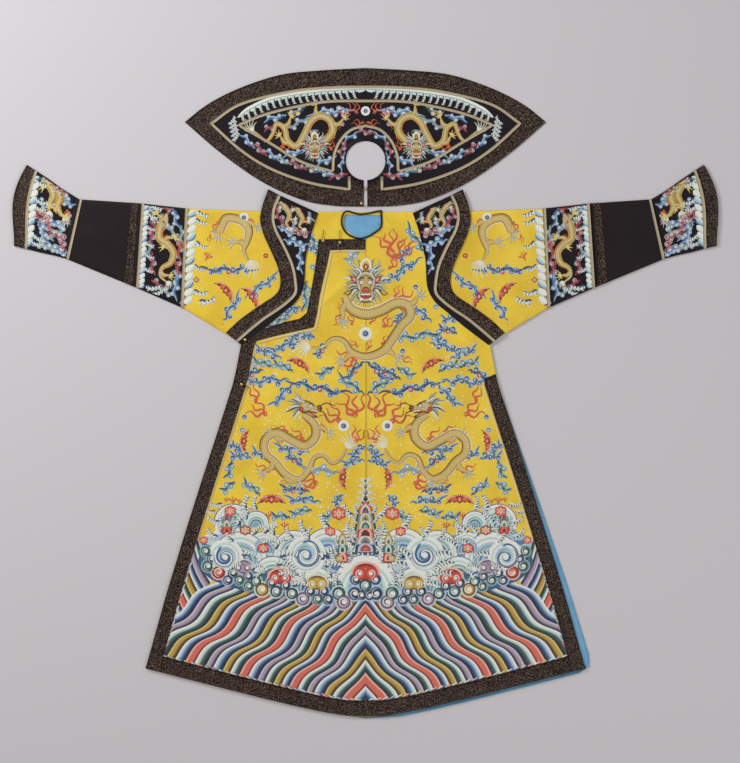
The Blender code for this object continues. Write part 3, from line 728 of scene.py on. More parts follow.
@dataclass(frozen=True)
class Gilt:
    """Worn gilt metal, rubbed brighter in spots and darker in its grain."""

    name: str

    def make(self, effects: Effects) -> Material:
        """Build the material."""
        made, tree, shader = start_material(self.name)
        place = set_node(tree, "TexCoord").outputs["Object"]
        worn = set_node(tree, "TexNoise", None, Vector=place, Scale=700.0, Detail=3.0).outputs["Fac"]
        colour = mixed(tree, worn, rgba(srgb(150, 108, 58)), rgba(srgb(240, 214, 160)))
        tree.links.new(colour, shader.inputs["Base Color"])
        tree.links.new(maths(tree, "MULTIPLY_ADD", worn, 0.3, 0.18), shader.inputs["Roughness"])
        bump = set_node(tree, "Bump", None, Strength=0.3, Distance=0.0003, Height=worn)
        tree.links.new(bump.outputs[0], shader.inputs["Normal"])
        shader.inputs["Metallic"].default_value = 1.0
        return made


@dataclass(frozen=True)
class Finishes:
    """Every material of the robe, by the name of its slot or its use."""

    effects: Effects

    def all(self) -> dict[str, Material]:
        """Build every material."""
        dark = srgb(15, 10, 15)
        table = {
            "yellow_silk": Cloth("yellow silk satin", srgb(236, 204, 60), srgb(206, 166, 28), 0.42, 0.3,
                                 240.0, 0.0,
                                 puckers=0.004),
            "dark_satin": Cloth("blue black satin", srgb(24, 16, 22), dark, 0.55, 0.03, 240.0, 0.2, 0.25,
                                0.2),
            "plain_sleeve_silk": Cloth("plain black silk", srgb(30, 20, 23), srgb(20, 13, 16), 0.6, 0.03,
                                       200.0, 0.7,
                                       0.25, 0.2),
            "gold_brocade": Brocade("gold brocade", srgb(32, 19, 18), srgb(20, 12, 12), 0.55, 0.03, 260.0,
                                    0.5,
                                    0.25, 0.2),
            "blue_lining": Cloth("sky blue lining", srgb(116, 174, 208), srgb(84, 144, 186), 0.5, 0.3, 200.0,
                                 0.0,
                                 puckers=0.003),
            "gold_braid": Braid("pale gold braid", srgb(214, 200, 164), srgb(142, 124, 92)),
            "black_cord": Cloth("black silk cord", srgb(24, 20, 22), srgb(12, 10, 12), 0.6, 0.2, 700.0, 0.7,
                                0.6),
            "gilt_brass": Gilt("gilt buttons"),
            "stitch": Stitch("silk embroidery"),
            "gold_stitch": Stitch("couched gold thread", 0.36, 0.1, 1100.0, 0.5, True),
        }
        return {key: finish.make(self.effects) for key, finish in table.items()}


@dataclass
class Body:
    """Back, lining, both fronts, the flap under them, the brocade bands along their edges and the neck's
    binding."""

    finishes: dict[str, Material]
    back_side_shows: float = 20.0
    back_hem_shows: float = 9.0
    corner_round: float = 9.0
    flap_end_y: float = -470.0
    seam: float = 0.1
    overlap: Array = field(default_factory=lambda: np.array([
        # outer x, outer y, inner x, inner y
        (-0.4, 413.0, -0.4, 385.0), (-60.0, 413.5, -55.0, 385.5), (-126.0, 413.0, -96.0, 384.0),
        (-131.0, 371.0, -104.0, 344.0), (-139.0, 317.0, -114.0, 304.0), (-150.0, 256.0, -124.0, 258.0),
        (-158.0, 215.0, -131.0, 212.0), (-177.0, 199.0, -140.0, 176.0), (-217.0, 190.0, -212.0, 160.0),
        (-258.0, 177.0, -254.0, 150.0), (-325.0, 153.0, -294.0, 139.0),
    ]))

    def half(self, sign: float, inner: Callable, columns: int, wider: float = 0.0,
             longer: float = 0.0) -> tuple[Array, int]:
        """Grid of half the body: straight rows above the underarm, then rows that bend into the hem's curve.

        Args:
            sign: +1 on the right and -1 on the left.
            inner: Gives the x of the edge nearest the middle at each height.
            columns: Number of columns; the last bounds the side band.
            wider: What the back shows beyond the front at the hem's corner.
            longer: What the back shows below the hem.

        Returns:
            The grid, and the number of rows above the underarm.
        """
        upper = np.array((0.0, 3.0, 9.0, 20.0, 32.0, 50.0, 74.0, 102.0, 130.0, 156.0, 191.0, 217.0, 243.0,
                          267.0,
                          281.0, 297.0, 315.0, 333.0, 345.0))
        share = np.linspace(0.0, 1.0, columns - 1)
        rows = []
        for y in SHOULDER_Y - upper:
            x_in, x_out = inner(y), sign * (float(at_height(ARMHOLE, y)) - 1.2)
            x = np.append(x_in + share * 0.93 * (x_out - x_in), x_out)
            rows.append(np.column_stack((x, np.full(columns, y))))
        hem_x = np.append(share * (HEM_HALF + wider - SIDE_BAND), HEM_HALF + wider)
        hem_x[0] = abs(inner(HEM_CORNER_Y))
        hem = hem_y(hem_x, longer * np.clip((sign * hem_x + 40.0) / 80.0, 0.0, 1.0))
        for t in (*np.linspace(0.0, 1.0, 24), None):
            y = hem if t is None else UNDERARM_Y + t * (hem + HEM_BAND - UNDERARM_Y)
            side = float(at_height(SIDE_TABLE, y[-1])) + wider * min(max((15.0 - y[-1]) / 715.0, 0.0), 1.0)
            first = abs(inner(y[0]))
            rows.append(np.column_stack((sign * np.append(first + share * (side - SIDE_BAND - first), side),
                                         y)))
        if wider:
            rows[-1][-1] += (-sign * self.corner_round, self.corner_round)
        return np.array(rows), len(upper)

    def lap(self, columns: int) -> Array:
        """Straight rows of the overlapping front, from the neck down to its side."""
        share = np.linspace(0.0, 1.0, columns - 1)
        rows = []
        for y in (413.0, 392.0, 371.0, 344.0, 317.0, 286.0, 256.0, 235.0, 215.0, 199.0, 190.0, 177.0, 165.0,
                  153.0):
            x_out = float(at_height(self.overlap[2:, (1, 0)], y))
            x = np.append(-self.seam + share * 0.93 * (x_out + self.seam), x_out)
            rows.append(np.column_stack((x, np.full(columns, y))))
        return np.array(rows)

    def build(self) -> None:
        """Make every piece of the body."""
        silk, lining = self.finishes["yellow_silk"], self.finishes["blue_lining"]
        right = self.half(1.0, lambda y: 0.0, 8, self.back_side_shows, self.back_hem_shows)[0]
        left = self.half(-1.0, lambda y: 0.0, 8, 0.0, self.back_hem_shows)[0]
        back = finer(np.concatenate((left[:, :0:-1], right), axis=1), 3, 6)
        piece = wall_piece("back_panel", back, np.zeros(back.shape[:2]), CLOTH, silk, "yellow_silk",
                           "back_body")
        inside = finer(np.concatenate((left[2:, :0:-1], right[2:]), axis=1), 3, 5)
        piece = wall_piece("back_lining_sheet", inside, LINING_Z + self.wrinkles(inside), LINING, lining,
                           "blue_lining", "back_lining")
        self.build_fronts(silk)
        self.build_neck()

    def wrinkles(self, grid: Array) -> Array:
        """Small wrinkles in the lining where it shows at the neck: short ridges that fade out below it."""
        table = np.array([
            # x, y, to x, to y, half width, height
            (-30.0, 480.0, -22.0, 430.0, 5.0, 1.1), (-4.0, 476.0, -10.0, 430.0, 4.5, 1.3),
            (18.0, 478.0, 8.0, 425.0, 5.0, 1.2), (34.0, 476.0, 26.0, 440.0, 4.0, 1.0),
            (-46.0, 470.0, -20.0, 462.0, 5.0, 0.9), (6.0, 452.0, 40.0, 462.0, 5.0, 0.9),
        ])
        return ridges(table, grid[..., 0], grid[..., 1])

    def build_fronts(self, silk: Material) -> None:
        """Make the two fronts, the flap and the bands that are laid on the fronts' own points."""
        right, split = self.half(1.0, lambda y: float(at_height(NECK_RIGHT, y)), 14)
        fine = finer(right, 4, 5)
        height = FRONT_Z + fine_relief(fine[..., 0], fine[..., 1])
        height = np.minimum(height, droop(SHOULDER_Y - fine[..., 1], height, LINING_Z))
        piece = wall_piece("front_right_panel", fine, height, CLOTH, silk, "yellow_silk", "front_right")
        flap = self.half(-1.0, lambda y: float(at_height(NECK_LEFT, y)), 8)[0]
        flap = finer(flap[flap[:, 0, 1] > self.flap_end_y], 4, 6)
        height = droop(SHOULDER_Y - flap[..., 1], FLAP_Z + 0.25 * fine_relief(flap[..., 0], flap[..., 1]),
                       LINING_Z)
        piece = wall_piece("inner_flap_panel", flap, np.minimum(height, FLAP_Z), CLOTH, silk, "yellow_silk",
                           "inner_flap")
        left = self.half(-1.0, lambda y: -self.seam, 14)[0]
        left = np.concatenate((self.lap(14), left[split:]))
        fine = finer(left, 4, 5)
        height = FRONT_Z + fine_relief(fine[..., 0], fine[..., 1])
        piece = wall_piece("front_overlap_panel", fine, height, CLOTH, silk, "yellow_silk", "front_overlap")
        self.build_bands(left, right, 14, split)

    def build_bands(self, left: Array, right: Array, left_top: int, right_top: int) -> None:
        """Lay the brocade bands along the edges of the fronts."""
        outer, inner = self.overlap[:, :2], self.overlap[:, 2:]
        self.band("overlap", across(outer, inner, np.linspace(0.0, 1.0, 5)), 6, 1)
        top = np.array([[(-294.4, 138.2), (-325.4, 152.2)]])
        self.band("left", np.concatenate((top, left[left_top:, -2:])), 3, 5)
        vent = right[right_top:, -2:]
        begin = int(np.argmax(vent[:, 0, 1] < 36.0))
        top = np.array([[(320.0, 36.0), (351.0, 50.0)]])
        self.band("right", np.concatenate((top, vent[begin:])), 3, 5)
        hem = np.concatenate((left[-2:, -2:0:-1], right[-2:, 1:-1]), axis=1)
        hem[:, 0, 0] += 0.4
        hem[:, -1, 0] -= 0.4
        self.band("hem", hem, 5, 4)

    def band(self, name: str, grid: Array, rows: int, columns: int) -> None:
        """Make one brocade band from a grid of the front's points, moved out."""
        fine = finer(grid, rows, columns)
        height = ON_FRONT + relief(fine[..., 0], fine[..., 1])
        piece = wall_piece(f"{name}_band", fine, height, BAND, self.finishes["gold_brocade"], "gold_brocade",
                           f"edge_band_{name}")

    def build_neck(self) -> None:
        """Make the narrow binding round the neck, which steps down to the lining behind it."""
        front = np.vstack((NECK_RIGHT[:-1, ::-1], ((-18.0, 415.5), (-49.0, 428.0), (-64.0, 455.0))))
        back = np.array(((-54.0, 488.0), (-12.0, 481.0), (44.0, 490.0)))
        line = smooth_line(np.vstack((front, back, front[:1])), 121)[:-1]
        line = line + (-4.0, 0.0) * (line[:, :1] > 20.0)
        side = normals_of(line, closed=True)
        width = 4.0
        grid = line[:, None] + side[:, None] * (np.linspace(0.5, -0.5, 5) * width)[None, :, None]
        behind = np.clip((48.0 - np.abs(grid[..., 0])) / 16.0, 0.0, 1.0) * (grid[..., 1] > 460.0)
        high, low = ON_FRONT + BAND + 0.4, LINING_Z + LINING + 0.4
        piece = wall_piece("neck_edging", grid, high + (low - high) * behind, BAND,
                           self.finishes["dark_satin"],
                   "dark_satin", "neck_binding", ring=True)


@dataclass
class Sleeve:
    """One sleeve in its four lengths, the flared cuff, and the brocade and braid laid on it."""

    side: Side
    finishes: dict[str, Material]
    cuff_border: float = 25.0
    cuff_bulge: float = 22.0
    cuff_length: float = 140.0
    joints: dict[str, tuple] = field(default_factory=lambda: {
        "armhole": ((250.0, 487.0), (351.0, 142.0)),
        "upper": ((478.0, 496.0), (490.0, 227.0)),
        "dragon": ((605.0, 510.0), (620.0, 284.0)),
        "plain": ((772.0, 521.0), (809.0, 362.0)),
    })
    cuff: Array = field(default_factory=lambda: np.array([
        # distance along, top x, top y, bottom x, bottom y
        (0.00, 772.0, 521.0, 809.0, 362.0), (0.25, 816.0, 548.0, 843.0, 371.0),
        (0.50, 852.0, 574.0, 877.0, 378.0), (0.78, 888.0, 598.0, 915.0, 388.0),
        (1.00, 913.0, 614.0, 948.0, 396.0),
    ]))

    def fractions(self, count: int) -> Array:
        """Fractions across the sleeve, closer together by both edges, where the cloth bends."""
        near = np.linspace(0.0, EDGE_DROP, 5) ** 1.6 / EDGE_DROP**0.6 / 300.0
        return np.concatenate((near, np.linspace(near[-1], 1.0 - near[-1], count)[1:-1], 1.0 - near[::-1]))

    def end(self, name: str, f: Array) -> Array:
        """Points across the sleeve at a joint, from the seam below to the top fold."""
        top, bottom = (np.array(point) for point in self.joints[name])
        if name != "armhole":
            return bottom + f[:, None] * (top - bottom)
        seam = ARMHOLE[-2::-1, ::-1]
        run = run_of(seam)
        return np.column_stack([np.interp(f * run[-1], run, column) for column in seam.T])

    def length(self, start: str, finish: str, along: Array, f: Array) -> Array:
        """Grid of a length of sleeve: straight lines from one joint to the next."""
        first, last = self.end(start, f), self.end(finish, f)
        t = np.asarray(along)[:, None, None]
        return first[None] * (1.0 - t) + last[None] * t

    def cuff_grid(self, along: Array, f: Array) -> Array:
        """Grid of the flared cuff, whose outer edge swells with the cube of the distance along."""
        at = np.asarray(along)
        ends = [np.interp(at, self.cuff[:, 0], self.cuff[:, column]) for column in range(1, 5)]
        top, bottom = np.column_stack(ends[:2]), np.column_stack(ends[2:])
        g = f[None, :, None]
        grid = bottom[:, None] * (1.0 - g) + top[:, None] * g
        grid[..., 0] += self.cuff_bulge * at[:, None] ** 3 * np.sin(math.pi * f**1.3)[None, :]
        return grid

    def lie(self, grid: Array, f: Array) -> Array:
        """Height of the upper layer, which bends down to the back at both edges."""
        width = np.hypot(*(grid[:, -1] - grid[:, 0]).T)[:, None]
        distance = np.minimum(f, 1.0 - f)[None, :] * width
        sign = self.side.value
        height = FRONT_Z + fine_relief(sign * grid[..., 0], grid[..., 1])
        return droop(distance, height, CLOTH + GAP)

    def placed(self, grid: Array) -> Array:
        """Grid on this sleeve's own side."""
        return grid * (self.side.value, 1.0)

    def pair(self, name: str, grid: Array, f: Array, finish: str) -> None:
        """Make the front and back layer of one length."""
        word = self.side.word
        for layer, height in (("front", self.lie(grid, f)), ("back", np.zeros(grid.shape[:2]))):
            piece = wall_piece(f"{name}_{layer}_layer_{word}", self.placed(grid), height, CLOTH,
                               self.finishes[finish], finish, f"{name}_{layer}_{word}")

    def strip(self, name: str, grid: Array, f: Array, thickness: float, finish: str, node: str) -> None:
        """Lay a strip across the sleeve on the upper layer's points, moved out."""
        word = self.side.word
        height = self.lie(grid, f) + CLOTH + GAP
        piece = wall_piece(f"{name}_{word}", self.placed(grid), height, thickness, self.finishes[finish],
                           finish,
                           f"{node}_{word}")

    def build(self) -> None:
        """Make every piece of the sleeve."""
        f = self.fractions(34)
        self.pair("upper_sleeve", self.length("armhole", "upper", np.linspace(0.012, 0.999, 34), f), f,
                  "yellow_silk")
        self.pair("dragon_band", self.length("upper", "dragon", np.linspace(0.0014, 0.9986, 18), f), f,
                  "dark_satin")
        self.pair("plain_sleeve", self.length("dragon", "plain", np.linspace(0.001, 0.999, 24), f), f,
                  "plain_sleeve_silk")
        border = 1.0 - self.cuff_border / self.cuff_length
        self.pair("hoof_cuff", self.cuff_grid(np.linspace(0.0012, 1.0, 24), f), f, "dark_satin")
        self.strip("cuff_edge_brocade", self.cuff_grid(np.linspace(border, 1.0, 6), f), f, BAND,
                   "gold_brocade",
                   "cuff_border")
        self.strip("brocade_strip", self.length("dragon", "plain", np.linspace(0.048, 0.172, 5), f), f, BAND,
                   "gold_brocade", "sleeve_brocade")
        braids = {
            "braid_cuff_edge": self.cuff_grid(np.linspace(border - 0.06, border - 0.01, 4), f),
            "braid_cuff_seam": self.length("dragon", "plain", np.linspace(0.955, 0.992, 4), f),
            "braid_band_outer": self.length("upper", "dragon", np.linspace(0.935, 0.992, 4), f),
            "braid_band_inner": self.length("upper", "dragon", np.linspace(0.008, 0.065, 4), f),
        }
        for name, grid in braids.items():
            self.strip(f"{name}_line", grid, f, BRAID, "gold_braid", name)


@dataclass
class Wing:
    """Wing over the shoulder seam, with its brocade border and its line of braid."""

    side: Side
    finishes: dict[str, Material]
    braid_width: float = 7.5
    table: Array = field(default_factory=lambda: np.array([
        # edge x, edge y, braid x, braid y, inner x, inner y
        (262.0, 548.0, 232.0, 532.0, 128.0, 484.0), (274.0, 516.0, 245.0, 503.0, 139.0, 452.0),
        (281.0, 490.0, 249.5, 480.0, 147.0, 425.0), (284.0, 466.0, 249.0, 460.0, 153.0, 400.0),
        (278.0, 437.0, 241.0, 434.0, 160.0, 372.0), (268.0, 411.0, 229.0, 411.0, 163.0, 345.0),
        (252.0, 376.0, 212.0, 377.0, 164.0, 318.0), (237.0, 340.0, 197.0, 340.0, 165.0, 300.0),
        (229.0, 306.0, 189.5, 300.0, 168.0, 282.0), (233.0, 277.0, 190.0, 268.0, 176.0, 262.0),
        (248.0, 259.0, 213.0, 243.0, 192.0, 240.0), (272.0, 243.0, 241.0, 222.0, 214.0, 222.0),
        (309.0, 218.0, 274.0, 200.0, 240.0, 200.0), (342.0, 193.0, 309.0, 172.0, 270.0, 175.0),
        (376.0, 161.0, 347.0, 139.0, 332.0, 128.0),
    ]))

    def build(self, overlap: Array) -> None:
        """Make the wing; on the left its inner edge stops at the overlapping front's band.

        Args:
            overlap: Table of that band's edges.
        """
        rows = smooth_line(self.table, 91)
        edge, braid, inner = rows[:, :2], rows[:, 2:4], rows[:, 4:].copy()
        if self.side is Side.LEFT:
            order = overlap[6:]
            stop = np.interp(-inner[:, 0], -order[:, 0], order[:, 1]) + 2.0
            inner[:, 1] = np.where(-inner[:, 0] < -order[0, 0] + 18.0, inner[:, 1],
                                   np.maximum(inner[:, 1], stop))
        word, sign = self.side.word, self.side.value
        base = np.concatenate((across(edge, braid, np.linspace(0.0, 0.85, 7)),
                               across(braid, inner, np.linspace(0.1, 1.0, 12))), axis=1)
        place = base * (sign, 1.0)
        piece = wall_piece(f"wing_panel_{word}", place, ON_FRONT + relief(place[..., 0], place[..., 1]),
                           CLOTH,
                           self.finishes["dark_satin"], "dark_satin", f"wing_{word}")
        border = across(edge, braid, np.linspace(0.0, 0.85, 7)) * (sign, 1.0)
        piece = wall_piece(f"wing_brocade_{word}", border, ON_WING + relief(border[..., 0], border[..., 1]),
                           BAND,
                           self.finishes["gold_brocade"], "gold_brocade", f"wing_border_{word}")
        side = normals_of(braid)
        line = braid[:, None] + side[:, None] * (np.linspace(0.5, -0.5, 4) * self.braid_width)[None, :, None]
        line = line * (sign, 1.0)
        piece = wall_piece(f"wing_braid_line_{word}", line, ON_WING + relief(line[..., 0], line[..., 1]),
                           BRAID,
                   self.finishes["gold_braid"], "gold_braid", f"wing_braid_{word}")


@dataclass
class Collar:
    """Flared collar with its neck hole and slit: satin ground, brocade border, two lines of braid and a
    binding."""

    finishes: dict[str, Material]
    slit: float = 5.2
    hole: tuple[float, float] = (0.0, 626.0)
    radius: tuple[float, float] = (54.0, 53.0)
    lower: tuple = ((5.2, 502.0), (90.0, 505.0), (176.0, 522.0), (284.0, 572.0), (392.0, 648.0),
                    (487.0, 730.0))
    upper: tuple = ((487.0, 730.0), (425.0, 778.0), (338.0, 822.0), (230.0, 857.0), (120.0, 869.0),
                    (0.0, 875.5))
    braid_lower: tuple = ((44.0, 548.0), (150.0, 566.0), (256.0, 604.0), (338.0, 655.0), (417.0, 726.0))
    braid_upper: tuple = ((417.0, 726.0), (338.0, 778.0), (204.0, 812.0), (95.0, 823.0), (0.0, 825.0))
    inner_lower: tuple = ((88.0, 600.0), (88.0, 596.0), (176.0, 624.0), (256.0, 672.0), (343.0, 722.0))
    inner_upper: tuple = ((343.0, 722.0), (270.0, 751.0), (165.0, 776.0), (90.0, 786.0), (0.0, 787.0))
    arch: tuple = ((0.3, 720.0), (39.0, 709.0), (69.0, 679.0), (85.0, 641.0), (88.0, 600.0))

    def mirrored(self, half: Array) -> Array:
        """Whole line from its right half, which ends at the middle of the top."""
        return np.vstack((half, half[-2::-1] * (-1.0, 1.0)))

    def arc(self, start: float, end: float, count: int, grow: float = 0.0) -> Array:
        """Points round the neck hole between two angles in degrees."""
        angle = np.radians(np.linspace(start, end, count))
        return np.column_stack((self.hole[0] + (self.radius[0] + grow) * np.cos(angle),
                                self.hole[1] + (self.radius[1] + grow) * np.sin(angle)))

    def ribbon(self, line: Array, width: float, columns: int = 4, closed: bool = False) -> Array:
        """Grid of a strip of constant width along a line."""
        side = normals_of(line, closed)
        return line[:, None] + side[:, None] * (np.linspace(0.5, -0.5, columns) * width)[None, :, None]

    def build(self) -> None:
        """Make every piece of the collar."""
        angle = -math.degrees(math.acos(self.slit / self.radius[0]))
        outline = self.mirrored(np.vstack((smooth_line(self.lower, 57), smooth_line(self.upper, 53)[1:])))
        hole = self.mirrored(np.vstack((self.arc(angle, 8.0, 57), self.arc(8.0, 90.0, 53)[1:])))
        base = across(hole, outline, np.linspace(0.0, 1.0, 25))
        flat = np.zeros
        dark, brocade, braid = (self.finishes[k] for k in ("dark_satin", "gold_brocade", "gold_braid"))
        piece = wall_piece("collar_panel", base, flat(base.shape[:2]), CLOTH, dark, "dark_satin",
                           "collar_base")
        on_base = CLOTH + GAP
        leg = np.array(((44.0, 583.0), (44.0, 566.0), (44.0, 548.0)))
        half = np.vstack((leg[:-1], smooth_line(self.braid_lower, 57), smooth_line(self.braid_upper, 53)[1:]))
        line = self.mirrored(half)
        slit_side = np.array(((self.slit, 560.0), (self.slit, 533.0)))
        edge = self.mirrored(np.vstack((slit_side, smooth_line(self.lower, 57),
                                        smooth_line(self.upper, 53)[1:])))
        border = across(edge, self.ribbon(line, 8.2, 2)[:, 1], np.linspace(0.0, 1.0, 7))
        piece = wall_piece("collar_brocade", border, on_base + flat(border.shape[:2]), BAND, brocade,
                           "gold_brocade", "collar_border")
        outer = self.ribbon(line, 7.2)
        piece = wall_piece("collar_outer_braid", outer, on_base + flat(outer.shape[:2]), BRAID, braid,
                           "gold_braid",
                   "collar_braid_outer")
        ring = np.vstack((smooth_line(self.arch, 33), smooth_line(self.inner_lower[1:], 41)[1:],
                          smooth_line(self.inner_upper, 49)[1:]))
        inner = self.ribbon(np.vstack((ring, ring[-2::-1] * (-1.0, 1.0))), 7.0, closed=True)
        piece = wall_piece("collar_inner_braid", inner, on_base + flat(inner.shape[:2]), BRAID, braid,
                           "gold_braid",
                   "collar_braid_inner", ring=True)
        edging = self.ribbon(self.arc(angle, 180.0 - angle, 120, 2.0), 3.4)
        piece = wall_piece("collar_neck_edging", edging, on_base + flat(edging.shape[:2]), BRAID, dark,
                           "dark_satin",
                   "collar_neck_binding")


@dataclass
class Fastenings:
    """Ball buttons and cord loops, whose turned solids stay as they are and take a finish."""

    finishes: dict[str, Material]
    buttons: tuple[str, ...] = ("neck", "lapel", "side", "underarm", "collar", "collar_end")
    cord: float = 2.4
    loops: tuple = (
        # name, line from x, y, to x, y, height
        ("neck", -69.0, 440.0, -69.0, 382.0, ON_FRONT + BAND + 0.4),
        ("lapel", -113.0, 440.0, -117.0, 396.0, ON_FRONT + BAND + 0.4),
        ("side", -346.0, 27.0, -310.0, 12.0, ON_FRONT + BAND + 0.4),
        ("collar", -10.0, 549.0, 10.0, 549.0, CLOTH + GAP + BAND + GAP),
    )

    def build(self) -> None:
        """Give the buttons their gilt and lay a round cord in place of each loop's flat strip."""
        for name in self.buttons:
            node = bpy.data.objects[f"button_{name}"]
            node.data.materials.clear()
            node.data.materials.append(self.finishes["gilt_brass"])
        for name, x0, y0, x1, y1, z in self.loops:
            self.cord_along(f"cord_loop_{name}", resampled(np.array(((x0, y0), (x1, y1))), 41), z,
                            f"loop_{name}")

    def cord_along(self, name: str, line: Array, z: float, node: str) -> None:
        """Make a round cord along a line: a circle carried along it, drawn in at both ends.

        Args:
            name: Name of the piece.
            line: Points along the cord's middle.
            z: Height of its underside.
            node: Loop that it stands for.
        """
        radius = self.cord * 0.36
        t = np.linspace(0.0, 1.0, len(line))
        size = radius * np.clip(np.sqrt(1.0 - (2.0 * t - 1.0) ** 24), 0.02, 1.0)
        turn = np.linspace(0.0, 2.0 * math.pi, 13)
        side = normals_of(line)
        reach = size[:, None] * np.cos(turn)[None, :]
        grid = np.dstack((line[:, None] + side[:, None] * reach[..., None],
                          z + radius - size[:, None] * np.sin(turn)[None, :]))
        patches = Patchwork()
        patches.add(grid)
        patches.object(name, self.finishes["black_cord"], "black_cord", node)


# Colours of the embroidery threads
INK = {name: srgb(*value) for name, value in {
    "white": (243, 243, 232), "cream": (226, 222, 190), "pale_aqua": (196, 222, 214), "aqua": (140, 180, 176),
    "teal": (72, 112, 110), "deep_green": (38, 66, 62), "pale_blue": (178, 204, 222), "blue": (88, 130, 172),
    "mid_blue": (58, 90, 136), "navy": (34, 50, 88), "night": (22, 28, 48), "gold": (196, 158, 62),
    "pale_gold": (226, 204, 116), "deep_gold": (112, 82, 34), "coral": (222, 110, 88),
    "pink": (244, 186, 168),
    "red": (204, 62, 42), "dark_red": (134, 34, 28), "orange": (228, 120, 52), "lilac": (176, 160, 176),
    "pale_lilac": (214, 202, 212), "plum": (108, 88, 112), "grey": (136, 142, 140), "umber": (74, 50, 30),
    "tan": (208, 172, 88),
    "sand": (238, 214, 136),
}.items()}


def inks(words: str) -> Array:
    """Colours of thread named in a line of words, one row each."""
    return np.array([INK[word] for word in words.split()])


def banded(colours: Array, blend: float = 0.14) -> tuple[Array, Array]:
    """Fractions and colours of equal bands with narrow blends between them.

    Args:
        colours: One row for each band.
        blend: Share of a band that blends into the next.

    Returns:
        Fractions from 0 to 1, and the colour at each.
    """
    count = len(colours)
    if count == 1:
        return np.array((0.0, 0.5, 1.0)), np.repeat(colours, 3, axis=0)
    edges = np.arange(1, count) / count
    half = blend / 2.0 / count
    at = np.concatenate(((0.0,), np.column_stack((edges - half, edges + half)).ravel(), (1.0,)))
    return at, np.repeat(colours, 2, axis=0)


@dataclass(frozen=True)
class Spot:
    """Place, size, turn and hand of a motif that is drawn in its own units."""

    x: float
    y: float
    size: float = 1.0
    turn: float = 0.0
    hand: float = 1.0

    def at(self, points: Array) -> Array:
        """Points of the motif on the cloth: flipped by the hand, grown, turned and moved."""
        local = np.asarray(points, float) * (self.hand * self.size, self.size)
        cosine, sine = math.cos(self.turn), math.sin(self.turn)
        return local @ np.array(((cosine, sine), (-sine, cosine))) + (self.x, self.y)

    def other(self) -> "Spot":
        """Same motif mirrored to the robe's other half."""
        return Spot(-self.x, self.y, self.size, -self.turn, -self.hand)


